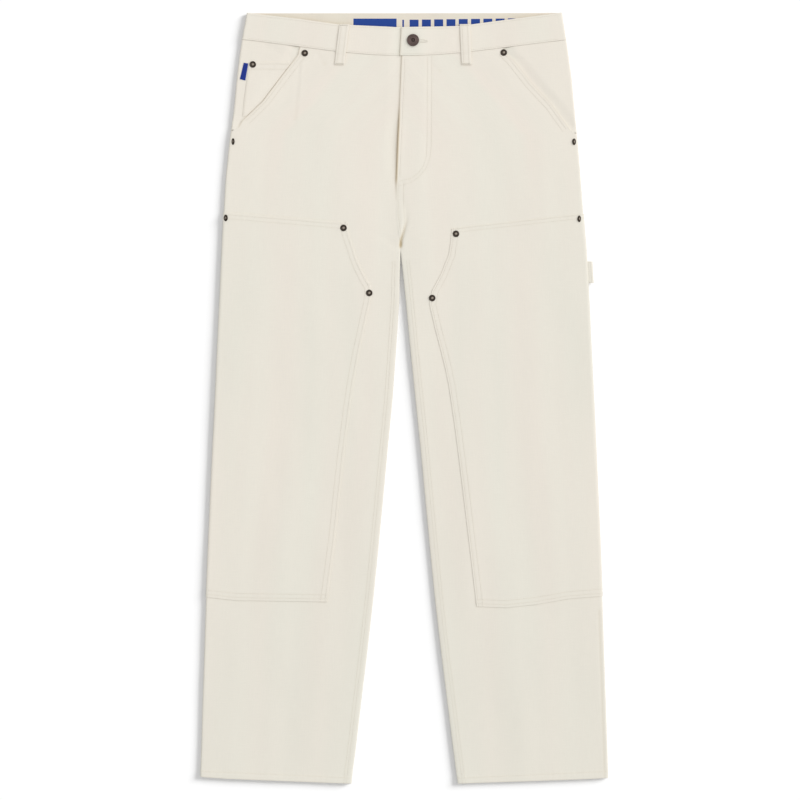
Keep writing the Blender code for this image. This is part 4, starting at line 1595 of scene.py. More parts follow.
class Weave:
    """Shader groups that the cloth finishes share."""

    def __init__(self) -> None:
        """Makes the groups."""
        self.twill = self.make_twill()
        self.slubs_and_painted_falloff = self.make_slubs_and_painted_falloff()
        self.bar = self.make_bar()

    @staticmethod
    def make_twill() -> bpy.types.NodeTree:
        """Makes the twill weave's height.

        Returns:
            The group, from a UV in metres and a yarn pitch in metres to a height from 0 to 1.
        """
        graph, given = make_group("Twill", {"Vector": VECTOR, "Pitch": FLOAT}, {"Height": FLOAT})
        place = graph.split(given["Vector"])
        across = graph.math("DIVIDE", place[0], given["Pitch"])
        along = graph.math("DIVIDE", place[1], given["Pitch"])
        diagonal = graph.math("MULTIPLY", graph.math("ADD", across, along), 2.0 * math.pi / 3.0)
        rib = graph.math("MULTIPLY_ADD", graph.math("SINE", diagonal), 0.5, 0.5)
        warp, weft = (
            graph.math("ABSOLUTE", graph.math("SINE", graph.math("MULTIPLY", yarns, math.pi)))
            for yarns in (across, along)
        )
        raised = graph.math("MULTIPLY", rib, graph.math("MULTIPLY_ADD", warp, 0.5, 0.5))
        sunk = graph.math("MULTIPLY", graph.math("SUBTRACT", 1.0, rib), graph.math("MULTIPLY", weft, 0.35))
        graph.put("NodeGroupOutput", {"Height": graph.math("ADD", raised, sunk)})
        return graph.tree

    @staticmethod
    def make_slubs_and_painted_falloff() -> bpy.types.NodeTree:
        """Makes the uneven yarns, the slow drift of colour and the painted shade that darkens the cloth
        towards the hems.

        Returns:
            The group, from a UV in metres to a shade about 1 and a drift from 0 to 1.
        """
        graph, given = make_group("SlubsAndPaintedFalloff", {"Vector": VECTOR}, {"Shade": FLOAT, "Drift": FLOAT})
        noises = []
        for scale, detail in SLUB_NOISES:
            places = {0: given["Vector"], 1: scale}
            stretched = graph.put("ShaderNodeVectorMath", places, operation="MULTIPLY")
            noises.append(graph.noise(stretched.outputs[0], 1.0, detail))
        both = graph.math("ADD", noises[0], noises[1])
        shade = graph.math("MULTIPLY_ADD", graph.math("SUBTRACT", both, 1.0), 0.05, 1.0)
        drifts = [
            graph.put("ShaderNodeMapRange", {0: slow, 1: 0.3, 2: 0.7}).outputs[0] for slow in noises[2:]
        ]
        banded = graph.math("MULTIPLY", shade, graph.math("MULTIPLY_ADD", drifts[0], 0.03, 0.985))
        # Painted shade: darker towards the hems, in place of the light's fall-off; the colour also turns
        # cooler towards them
        height = graph.split(given["Vector"])[1]
        low = graph.put("ShaderNodeMapRange", {0: height, 1: FALLOFF_AND_COOLING_TOP, 2: FALLOFF_AND_COOLING_BASE}).outputs[0]
        with_painted_falloff = graph.math("MULTIPLY", banded, graph.math("MULTIPLY_ADD", low, -PAINTED_FALLOFF, PAINTED_FALLOFF_START))
        cooler = graph.math("MULTIPLY", drifts[1], graph.math("MULTIPLY_ADD", low, -WARMTH_FALL, 1.0))
        graph.put("NodeGroupOutput", {"Shade": with_painted_falloff, "Drift": cooler})
        return graph.tree

    @staticmethod
    def make_bar() -> bpy.types.NodeTree:
        """Makes the mask of a printed bar.

        Returns:
            The group, from a position and four limits in metres to a mask.
        """
        limits = dict.fromkeys(("Left", "Right", "Low", "High"), FLOAT)
        graph, given = make_group("PrintedBar", {"Vector": VECTOR, **limits}, {"Mask": FLOAT})
        place = graph.split(given["Vector"])
        between = []
        for axis, first, last in ((0, "Left", "Right"), (1, "Low", "High")):
            after = graph.math("GREATER_THAN", place[axis], given[first])
            before = graph.math("LESS_THAN", place[axis], given[last])
            between.append(graph.math("MULTIPLY", after, before))
        graph.put("NodeGroupOutput", {"Mask": graph.math("MULTIPLY", *between)})
        return graph.tree


def new_material(name: str) -> tuple[bpy.types.Material, Graph, bpy.types.Node]:
    """Starts a material.

    Args:
        name: The material's name.

    Returns:
        The material, its graph and its shader.
    """
    material = bpy.data.materials.new(name)
    material.use_nodes = True
    graph = Graph(material.node_tree)
    return material, graph, material.node_tree.nodes["Principled BSDF"]


@dataclass(frozen=True)
class CanvasFinish:
    """Ecru cotton twill."""

    cool: Color = (0.778, 0.756, 0.668)
    warm: Color = (0.816, 0.750, 0.668)
    # Colour of the painted shade: seam channels, edges, the fly's gap, the pocket openings, the deep creases
    # and the inside of the back band are darkened towards it
    stain_and_painted_shade: Color = (0.70, 0.60, 0.44)
    pitch: float = 0.00052
    weave_depth: float = 0.00007
    yarn_depth: float = 0.00012
    bars: bool = False

    def material(self, name: str, weave: Weave) -> bpy.types.Material:
        """Makes the material.

        Args:
            name: The material's name.
            weave: The shared groups.

        Returns:
            The material.
        """
        material, graph, shader = new_material(name)
        uv = graph.put("ShaderNodeUVMap", uv_map="cloth").outputs[0]
        slubs_and_painted_falloff = graph.put("ShaderNodeGroup", {"Vector": uv}, node_tree=weave.slubs_and_painted_falloff).outputs
        twill = graph.put("ShaderNodeGroup", {"Vector": uv, "Pitch": self.pitch}, node_tree=weave.twill)
        height = twill.outputs["Height"]
        drifted = graph.mix(slubs_and_painted_falloff["Drift"], opaque(self.cool), opaque(self.warm))
        # Painted shade: the colour is multiplied towards the shade colour by the point attribute
        with_painted_shade = graph.mix(graph.attribute(), drifted, opaque(self.stain_and_painted_shade), blend_type="MULTIPLY")
        # Darker in the twill's hollows: painted shade. The group's shade also carries the yarns' uneven tone
        # and the painted shade that falls off towards the hems.
        shade = graph.math("MULTIPLY", slubs_and_painted_falloff["Shade"], graph.math("MULTIPLY_ADD", height, 0.05, 0.975))
        color = graph.put("ShaderNodeVectorMath", {0: with_painted_shade, "Scale": shade}, operation="SCALE").outputs[0]
        if self.bars:
            color = self.print_bars(graph, weave, color)
        fluff = graph.bump(graph.noise(uv, 700.0, 3.0), self.yarn_depth, Strength=0.6)
        inputs = {
            "Base Color": color,
            "Normal": graph.bump(height, self.weave_depth, Normal=fluff),
            "Roughness": 0.92,
            "Specular IOR Level": 0.22,
            "Sheen Weight": 0.12,
            "Sheen Roughness": 0.6,
        }
        graph.feed(shader, inputs)
        return material

    @staticmethod
    def print_bars(graph: Graph, weave: Weave, color: Value) -> Value:
        """Prints plain blue bars on the inside of the back waistband.

        Args:
            graph: The material's graph.
            weave: The shared groups.
            color: The cloth's colour.

        Returns:
            The colour with its print.
        """
        place = graph.put("ShaderNodeTexCoord").outputs["Object"]
        facing = graph.split(graph.put("ShaderNodeNewGeometry").outputs["True Normal"])[2]
        low_down = graph.math("LESS_THAN", graph.split(place)[2], PRINT_BELOW)
        inside = graph.math("MULTIPLY", graph.math("GREATER_THAN", facing, 0.5), low_down)
        mask = None
        for left, right, high, low in PRINTED_BARS:
            limits = {"Left": mm_x(left), "Right": mm_x(right), "Low": mm_y(low), "High": mm_y(high)}
            limits = {side: float(limit) * METRES_PER_MM for side, limit in limits.items()}
            bar = graph.put("ShaderNodeGroup", {"Vector": place, **limits}, node_tree=weave.bar).outputs[0]
            mask = bar if mask is None else graph.math("MAXIMUM", mask, bar)
        return graph.mix(graph.math("MULTIPLY", mask, inside), color, opaque(PRINT_COLOR))


# The print inside the back waistband: its colour, and the height in metres that it lies under
PRINT_COLOR = (0.016, 0.055, 0.27)
PRINT_BELOW = 0.0026
PRINTED_BARS = (
    # x of the left and right edges, y of the top and bottom, all of the drawing
    (353.3, 396.6, 18.2, 38.0),
    (402.3, 404.0, 19.4, 38.0),
    *((409.6 + 12.3 * index, 418.6 + 12.3 * index, 19.3 - 0.16 * index, 38.0) for index in range(9)),
)


@dataclass(frozen=True)
class ThreadFinish:
    """Cotton sewing thread."""

    color: Color = (0.805, 0.762, 0.672)
    # Share of the colour in the grooves between the plies: painted shade
    painted_groove_shade: float = 0.9
    twist: float = 2600.0

    def material(self, name: str) -> bpy.types.Material:
        """Makes the material.

        Args:
            name: The material's name.

        Returns:
            The material.
        """
        material, graph, shader = new_material(name)
        place = graph.put("ShaderNodeTexCoord").outputs["Object"]
        wave = {"Vector": place, "Scale": self.twist, "Distortion": 1.5}
        plies = graph.put("ShaderNodeTexWave", wave).outputs["Fac"]
        inputs = {
            # Darker in the grooves between the plies: painted shade
            "Base Color": graph.mix(plies, opaque(self.color, self.painted_groove_shade), opaque(self.color)),
            "Normal": graph.bump(plies, 0.00005),
            "Roughness": 0.7,
            "Sheen Weight": 0.1,
        }
        graph.feed(shader, inputs)
        return material


@dataclass(frozen=True)
class TapeFinish:
    """Woven blue tape."""

    color: Color = (0.007, 0.024, 0.215)
    # Lighter blue of the selvedge, also mixed in on the weave's raised crossings as painted highlight
    edge: Color = (0.014, 0.045, 0.30)
    selvedge: float = 0.7
    pitch: float = 0.0004

    def material(self, name: str) -> bpy.types.Material:
        """Makes the material.

        Args:
            name: The material's name.

        Returns:
            The material.
        """
        material, graph, shader = new_material(name)
        place = graph.split(graph.put("ShaderNodeUVMap", uv_map="cloth").outputs[0])
        picks, ends = (
            graph.math("SINE", graph.math("MULTIPLY", place[axis], 2.0 * math.pi / self.pitch))
            for axis in (1, 0)
        )
        weave = graph.math("MULTIPLY_ADD", graph.math("MULTIPLY", picks, ends), 0.5, 0.5)
        rim = graph.math("LESS_THAN", graph.attribute(), self.selvedge)
        # Lighter on the weave's raised crossings, which is painted highlight, and along the rims, which is
        # the selvedge's own colour
        selvedge_and_painted_highlight = graph.math("MAXIMUM", graph.math("MULTIPLY", weave, 0.35), graph.math("MULTIPLY", rim, 0.8))
        inputs = {
            "Base Color": graph.mix(selvedge_and_painted_highlight, opaque(self.color), opaque(self.edge)),
            "Normal": graph.bump(weave, 0.00006),
            "Roughness": 0.7,
            "Specular IOR Level": 0.25,
        }
        graph.feed(shader, inputs)
        return material


@dataclass(frozen=True)
class AntiqueMetalFinish:
    """Dark antique brass, brighter on what stands highest."""

    low: Color = (0.036, 0.027, 0.02)
    high: Color = (0.27, 0.23, 0.19)
    wear: float = 7.0
    roughness: float = 0.42

    def material(self, name: str) -> bpy.types.Material:
        """Makes the material.

        Args:
            name: The material's name.

        Returns:
            The material.
        """
        material, graph, shader = new_material(name)
        place = graph.put("ShaderNodeTexCoord").outputs["Object"]
        stain_and_painted_shade = graph.noise(place, 900.0, 4.0)
        worn = graph.math("POWER", graph.attribute(), self.wear)
        worn = graph.math("MULTIPLY", worn, graph.math("MULTIPLY_ADD", stain_and_painted_shade, 1.1, 0.35))
        inputs = {
            "Base Color": graph.mix(worn, opaque(self.low), opaque(self.high)),
            "Roughness": graph.math("MULTIPLY_ADD", stain_and_painted_shade, 0.3, self.roughness - 0.12),
            "Normal": graph.bump(stain_and_painted_shade, 0.00006, Strength=0.5),
            "Metallic": 0.85,
        }
        graph.feed(shader, inputs)
        return material


class Dresser:
    """Gives each piece its finish and its place in the frame, and hides the CAD node that it stands for."""

    def __init__(self) -> None:
        """Makes the finishes once."""
        weave = Weave()
        self.finishes = {
            "canvas": CanvasFinish().material("canvas", weave),
            "canvas_patch": CanvasFinish().material("canvas_patch", weave),
            "canvas_band": CanvasFinish(bars=True).material("canvas_band", weave),
            "woven_tab": TapeFinish().material("woven_tab"),
            "antique_metal": AntiqueMetalFinish().material("antique_metal"),
            "button_metal": AntiqueMetalFinish(
                low=(0.03, 0.02, 0.018), high=(0.14, 0.1, 0.09), wear=3.0
            ).material("button_metal"),
            "thread": ThreadFinish().material("thread"),
        }

    def give(self, made: bpy.types.Object, finish: str, slot: str, node: str | None) -> None:
        """Dresses one piece.

        Args:
            made: The piece.
            finish: Name of its finish.
            slot: Not used.
            node: The CAD node that it stands for, if any.
        """
        made.data.materials.clear()
        made.data.materials.append(self.finishes[finish])
        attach(made, "root")
        if node:
            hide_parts(node)
        log.info("%s: %d faces, %s", made.name, len(made.data.polygons), finish)

    def cloth(self, made: bpy.types.Object, node: str, slot: str) -> None:
        """Dresses a cloth piece."""
        self.give(made, slot, slot, node)

    def tape(self, made: bpy.types.Object, node: str) -> None:
        """Dresses the woven tab."""
        self.give(made, "woven_tab", "woven_tab", node)

    def metal(self, made: bpy.types.Object, node: str) -> None:
        """Dresses a metal piece."""
        finish = "button_metal" if node == "button" else "antique_metal"
        self.give(made, finish, "antique_metal", node)

    def thread(self, made: bpy.types.Object, slot: str) -> None:
        """Dresses stitches."""
        self.give(made, "thread", slot, None)


class Stitcher:
    """Lays stitches along paths with one Geometry Nodes tree."""

    def __init__(self, dress: Dresser) -> None:
        """Makes the tree."""
        self.dress = dress
        self.tree = self.make_tree(dress.finishes["thread"])

    @staticmethod
    def make_tree(thread: bpy.types.Material) -> bpy.types.NodeTree:
        """Makes the tree: even points on each path, a rounded stitch on each point.

        Args:
            thread: The thread's material.

        Returns:
            The tree.
        """
        tree = bpy.data.node_groups.new("Stitches", "GeometryNodeTree")
        face = tree.interface
        face.new_socket(name="Paths", in_out="INPUT", socket_type="NodeSocketGeometry")
        for name in ("Pitch", "Length", "Width", "Turn", "Wander"):
            face.new_socket(name=name, in_out="INPUT", socket_type="NodeSocketFloat")
        face.new_socket(name="Seed", in_out="INPUT", socket_type="NodeSocketInt")
        face.new_socket(name="Stitches", in_out="OUTPUT", socket_type="NodeSocketGeometry")
        graph = Graph(tree)
        given = graph.put("NodeGroupInput")
        curves = graph.put("GeometryNodeMeshToCurve", {0: given.outputs["Paths"]})
        spacing = {0: curves.outputs[0], "Length": given.outputs["Pitch"]}
        spaced = graph.put("GeometryNodeResampleCurve", spacing, mode="LENGTH")
        ball = graph.put("GeometryNodeMeshUVSphere", {"Segments": 6, "Rings": 4, "Radius": 0.5})
        thickness = given.outputs["Width"]
        size = graph.put("ShaderNodeCombineXYZ", {0: given.outputs["Length"], 1: thickness, 2: thickness})
        stitch = graph.put("GeometryNodeTransform", {0: ball.outputs[0], "Scale": size.outputs[0]})
        shaded = graph.put("GeometryNodeSetShadeSmooth", {0: stitch.outputs[0]})
        tangent = graph.put("GeometryNodeInputTangent")
        aligned = graph.put("FunctionNodeAlignRotationToVector", {"Vector": tangent.outputs[0]}, axis="X")
        low = graph.math("MULTIPLY", given.outputs["Wander"], -1.0)
        limits = {2: low, 3: given.outputs["Wander"], "Seed": given.outputs["Seed"]}
        wander = graph.put("FunctionNodeRandomValue", limits, data_type="FLOAT")
        turn = graph.math("ADD", given.outputs["Turn"], wander.outputs[1])
        angles = graph.put("ShaderNodeCombineXYZ", {2: turn})
        spin = graph.put("FunctionNodeEulerToRotation", {0: angles.outputs[0]})
        turned = graph.put(
            "FunctionNodeRotateRotation", {0: aligned.outputs[0], 1: spin.outputs[0]}, rotation_space="LOCAL"
        )
        laid = graph.put(
            "GeometryNodeInstanceOnPoints",
            {"Points": spaced.outputs[0], "Instance": shaded.outputs[0], "Rotation": turned.outputs[0]},
        )
        real = graph.put("GeometryNodeRealizeInstances", {0: laid.outputs[0]})
        finished = graph.put("GeometryNodeSetMaterial", {0: real.outputs[0], "Material": thread})
        graph.put("NodeGroupOutput", {0: finished.outputs[0]})
        return tree

    def lay(
        self,
        name: str,
        paths: Sequence[Array],
        slot: str,
        pitch: float = STITCH_PITCH,
        length: float = STITCH_LENGTH,
        width: float = THREAD_WIDTH,
        turn: float = 0.0,
        seed: int = 3,
    ) -> bpy.types.Object:
        """Lays stitches along paths.

        Args:
            name: The object's name.
            paths: Points of each path in millimetres.
            slot: The slot of the cloth that they are on.
            pitch: Step from stitch to stitch in millimetres.
            length: A stitch's length in millimetres.
            width: The thread's width in millimetres.
            turn: Turn of each stitch from its path in radians.
            seed: Seed of the small turns.

        Returns:
            The stitches as a plain mesh.
        """
        points = np.concatenate(paths) * METRES_PER_MM
        edges = []
        first = 0
        for path in paths:
            edges += [(first + index, first + index + 1) for index in range(len(path) - 1)]
            first += len(path)
        mesh = bpy.data.meshes.new(f"{name}_paths")
        mesh.from_pydata([tuple(point) for point in points], edges, [])
        carrier = add_object(f"{name}_paths", mesh)
        modifier = carrier.modifiers.new("stitches", "NODES")
        modifier.node_group = self.tree
        values = {
            "Pitch": pitch * METRES_PER_MM,
            "Length": length * METRES_PER_MM,
            "Width": width * METRES_PER_MM,
            "Turn": turn,
            "Wander": 0.07,
            "Seed": seed,
        }
        for item in self.tree.interface.items_tree:
            if item.item_type == "SOCKET" and item.in_out == "INPUT" and item.name in values:
                modifier[item.identifier] = values[item.name]
        graph = bpy.context.evaluated_depsgraph_get()
        plain = bpy.data.meshes.new_from_object(carrier.evaluated_get(graph), depsgraph=graph)
        plain.name = name
        bpy.data.objects.remove(carrier, do_unlink=True)
        made = add_object(name, plain)
        self.dress.thread(made, slot)
        return made

    def sew(
        self, name: str, seams: Sequence[Seam], height: Callable[[Array, Array], Array], slot: str
    ) -> bpy.types.Object:
        """Sews the seams of one piece.

        Args:
            name: The piece's name.
            seams: Its seams.
            height: The height of its outer face at (x, y).
            slot: Its material slot.

        Returns:
            The stitches.
        """
        paths = []
        for row in (row for seam in seams if seam.stitched for row in seam.rows()):
            fine = resampled(row, ROW_STEP)
            paths.append(np.column_stack((fine, height(fine[:, 0], fine[:, 1]) + THREAD_RISE)))
        return self.lay(f"stitches_{name}", paths, slot, seed=len(paths))


def flat_size(face_width: float, face_length: float) -> tuple[float, float]:
    """Gives the size of the rectangle that a piece is cut from, in metres."""
    return face_width * STEP * METRES_PER_MM, face_length * STEP * METRES_PER_MM


def leg_seams(side: Side) -> tuple[Seam, ...]:
    """Lists the seams of one front panel.

    Args:
        side: The half.

    Returns:
        The seams.
    """
    inward = side.inward
    hem_ends = ((200.5, 777.1), (349.5, 783.7)) if side is RIGHT else ((458, 784), (606.5, 777.5))
    hem = drawn_path(*hem_ends)
    inseam = line_path(side.inner, 262, 783)
    found = [
        Seam("inseam", inseam, (-7.2 * inward, -11.0 * inward), channel=0.04, pucker=0.03),
        Seam("hem", hem, (8.3,), channel=0.15, pucker=0.2),
        Seam(
            "outseam", line_path(side.fold, 610, 776), (5.3 * inward,), channel=side.outseam_hollow,
            pucker=0.0, stitched=False,
        ),
    ]
    if side is RIGHT:
        opening = drawn_path((299, 50), (298, 55), (284, 73), (263, 101), (245, 118))
        found.append(Seam("pocket", opening, (3.8, 9.5), channel=0.07, pucker=0.05))
        return tuple(found)
    opening = drawn_path((504.5, 50.5), (513.5, 59.6), (531.7, 82.8), (551.4, 103.8), (568, 127))
    found += [
        Seam("pocket", opening, (-3.7, -9.5), channel=0.1, pucker=0.05),
        Seam("fly_edge", drawn_path((404.9, 60), (403.3, 98), (401.5, 140), (399.9, 176)), (0.0,)),
        Seam(
            "fly_inner",
            drawn_path(
                (427.5, 57.5), (427.4, 100), (427.2, 142), (426.4, 156), (423.6, 166), (418.0, 173.5),
                (411.0, 178.4), (400.5, 181.0),
            ),
            (0.0,),
        ),
        Seam(
            "fly_outer",
            drawn_path(
                (431.8, 57.2), (431.7, 100), (431.4, 146), (430.0, 158), (426.2, 168), (419.5, 176.5),
                (411.0, 182.4), (399.0, 186.0),
            ),
            (0.0,),
        ),
        Seam("rise_inner", drawn_path((398.2, 184), (398.0, 214), (400.6, 230), (401.6, 241)), (0.0,)),
        Seam("rise_outer", drawn_path((403.6, 184), (403.7, 203), (404.8, 220), (402.6, 238)), (0.0,)),
    ]
    return tuple(found)


def front_start(side: Side) -> Reading:
    """Gives the outer edge of the front panel: the fold, then the slant pocket's opening."""
    base = float(side.opening.y.min())
    return lambda y: np.where(y < base, side.fold.x_at(y), side.opening.x_at(y))


def front_end(side: Side) -> Reading:
    """Gives the inner edge of the front panel: the leg's inner fold, then the fly.

    Args:
        side: The half.

    Returns:
        x at a height.
    """

    def end(y: Array) -> Array:
        """Reads x at a height."""
        if side is RIGHT:
            under = smooth((y - UNDERLAP_ENDS[0]) / (UNDERLAP_ENDS[1] - UNDERLAP_ENDS[0]))
            fly = FLY.x_at(y) - SEWN_GAP / 2.0 + (LAP_UNDER + SEWN_GAP / 2.0) * under
        else:
            fly = FLY.x_at(y) + SEWN_GAP / 2.0
        inner = side.inner.x_at(y) - side.inward * SEAM_GAP / 2.0
        return np.where(y > side.inner.y.max(), fly, inner)

    return end


def front_panel(side: Side) -> LaidPanel:
    """Describes the front panel of one leg.

    Args:
        side: The half.

    Returns:
        The panel.
    """
    hem = float(side.hem.y_at(side.fold.x_at(mm_y(777.2))))
    opening = np.sort(side.opening.y)
    seam = float(FRONT_SEAM.y_at(side.opening.x_at(1000.0))) - SEWN_GAP / 2.0
    marks = [hem + mark for mark in HEM_MARKS] + [y for y in opening if y < seam - 3.0]
    marks += [seam - 1.0, seam - 0.35, seam]
    return LaidPanel(
        name=f"front_{side.name}",
        side=side,
        slot="canvas",
        wall=CLOTH,
        base=0.0,
        start=front_start(side),
        end=front_end(side),
        bottom=side.hem.y_at,
        top=lambda x: FRONT_SEAM.y_at(x) - SEWN_GAP / 2.0,
        across=Across(FOLD_COLUMNS, (*INSEAM_COLUMNS, *reversed(FOLD_COLUMNS)), FINE_STEP + 0.2),
        heights=heights_between(marks, FINE_STEP),
        width=255.0,
        flat=flat_size(186, 745),
        start_fold=True,
        end_fold=True,
        free=(Edge.BOTTOM,),
        welts=(Welt(Edge.END, 3.5, 12.4, 0.08, below=float(mm_y(290))),),
        seams=leg_seams(side),
    )


def back_panel(side: Side) -> LaidPanel:
    """Describes the back panel of one leg, flat on its underside.

    Args:
        side: The half.

    Returns:
        The panel.
    """
    hem = float(side.hem.y_at(side.fold.x_at(mm_y(777.2))))
    top = float(BACK_SEAM.y_at(side.fold.x_at(mm_y(40))))

    def end(y: Array) -> Array:
        """Reads x of the inner edge at a height."""
        line = np.where(y > side.inner.y.max(), CENTRE_BACK.x_at(y), side.inner.x_at(y))
        return line - side.inward * SEAM_GAP / 2.0

    return LaidPanel(
        name=f"back_{side.name}",
        side=side,
        slot="canvas",
        wall=CLOTH,
        base=0.0,
        start=side.fold.x_at,
        end=end,
        bottom=side.hem.y_at,
        top=lambda x: BACK_SEAM.y_at(x) - SEAM_GAP / 2.0,
        across=Across(FOLD_COLUMNS, tuple(reversed(FOLD_COLUMNS)), BACK_STEP),
        heights=heights_between((hem, top), BACK_STEP),
        width=255.0,
        flat=flat_size(190, 750),
        start_fold=True,
        end_fold=True,
        layer=Layer.BACK,
    )


def pocket_facing(side: Side) -> LaidPanel:
    """Describes the facing beside a slant pocket.

    Args:
        side: The half.

    Returns:
        The panel.
    """
    base = float(side.opening.y.min()) + 1.8
    top = float(FRONT_SEAM.y_at(side.fold.x_at(mm_y(40)))) - SEWN_GAP / 2.0
    return LaidPanel(
        name=f"pocket_facing_{side.name}",
        side=side,
        slot="canvas",
        wall=FACING_CLOTH,
        base=0.0,
        layer=Layer.FACING,
        start=side.fold.x_at,
        end=lambda y: side.opening.x_at(y) + side.inward * FACING_UNDER * opened(side, y),
        bottom=lambda x: np.full_like(x, base),
        top=lambda x: FRONT_SEAM.y_at(x) - SEWN_GAP / 2.0,
        across=Across(FOLD_COLUMNS, (0.0,), FINE_STEP),
        heights=heights_between((base, top - 1.0, top - 0.35, top), FINE_STEP),
        width=108.0,
        flat=flat_size(76, 92),
        start_fold=True,
    )


def knee_patch(drawing: PatchDrawing) -> LaidPanel:
    """Describes a knee patch, laid on the front from the side fold to its shaped inner edge.

    Args:
        drawing: Its outline.

    Returns:
        The panel.
    """
    side = drawing.side
    inward = side.inward
    low, high = float(drawing.edge.y.min()), float(drawing.edge.y.max())
    marks = [low + mark for mark in (0.0, 0.35, 1.0, 2.5, 4.2, 6.0, 8.0, 9.8, 11.5)]
    marks += [y for y in np.sort(drawing.edge.y) if low + 14.0 < y < high - 15.0]
    marks += [high - mark for mark in (12.0, 9.8, 7.6, 5.5, 3.0, 1.0, 0.35, 0.0)]
    top_path = drawing.top.points()
    top_path = top_path[np.argsort(top_path[:, 0])]
    base_path = drawing.bottom.points()
    base_path = base_path[np.argsort(base_path[:, 0])]
    edge_path = drawing.edge.points()[::-1]
    return LaidPanel(
        name=f"knee_patch_{side.name}",
        side=side,
        slot="canvas_patch",
        wall=PATCH_CLOTH,
        base=-PATCH_RISE,
        start=lambda y: side.fold.x_at(y) - inward * PATCH_WRAP,
        end=drawing.edge.x_at,
        bottom=drawing.bottom.y_at,
        top=drawing.top.y_at,
        across=Across(
            (0.0, 0.9, 2.2, 4.0, 5.8),
            (14.0, 11.6, 10.2, 9.0, 7.8, 6.0, 4.4, 3.0, 1.8, 1.0, 0.35, 0.0),
            FINE_STEP + 0.3,
        ),
        heights=heights_between(marks, FINE_STEP),
        width=215.0,
        flat=flat_size(170, 398),
        free=(Edge.TOP, Edge.BOTTOM, Edge.END),
        welts=(
            Welt(Edge.END, 0.0, 10.4, 0.1),
            Welt(Edge.TOP, 0.0, 11.0, 0.15),
            Welt(Edge.BOTTOM, 0.0, 11.0, 0.2),
        ),
        seams=(
            Seam("top", top_path, (-3.4, -8.8) if side is RIGHT else (-1.2, -5.9)),
            Seam("bottom", base_path, (4.4, 10.2)),
            Seam("edge", edge_path, (-3.0 * inward, -9.0 * inward), channel=0.07 if side is RIGHT else 0.12),
        ),
    )


def coin_pocket() -> LaidPanel:
    """Describes the small pocket on the right facing.

    Returns:
        The panel.
    """
    low, high = COIN_POCKET_ENDS
    marks = (low, low + 0.35, low + 1.0, high - 11.0, high - 10.0, high - 9.0, high - 4.0, high - 2.8)
    return LaidPanel(
        name="coin_pocket",
        side=RIGHT,
        slot="canvas",
        wall=POCKET_CLOTH,
        base=-POCKET_RISE,
        layer=Layer.FACING,
        start=COIN_POCKET_EDGE.x_at,
        end=lambda y: RIGHT.opening.x_at(y) - 2.0 * SEAM_GAP,
        bottom=lambda x: np.full_like(x, low),
        top=lambda x: np.full_like(x, high),
        across=Across(EDGE_COLUMNS, tuple(reversed(EDGE_COLUMNS)), FINE_STEP),
        heights=heights_between((*marks, high - 1.0, high - 0.35, high), FINE_STEP),
        width=60.0,
        flat=flat_size(44, 56),
        free=(Edge.TOP, Edge.START, Edge.END),
        welts=(Welt(Edge.TOP, 0.0, 11.0, 0.1),),
        seams=(
            Seam("top", drawn_path((250, 62), (290.5, 62.2)), (-2.8, -10.0)),
            Seam("side", drawn_path((249, 70), (246.6, 81), (244, 100), (242.6, 114)), (1.8,), channel=0.08),
        ),
    )


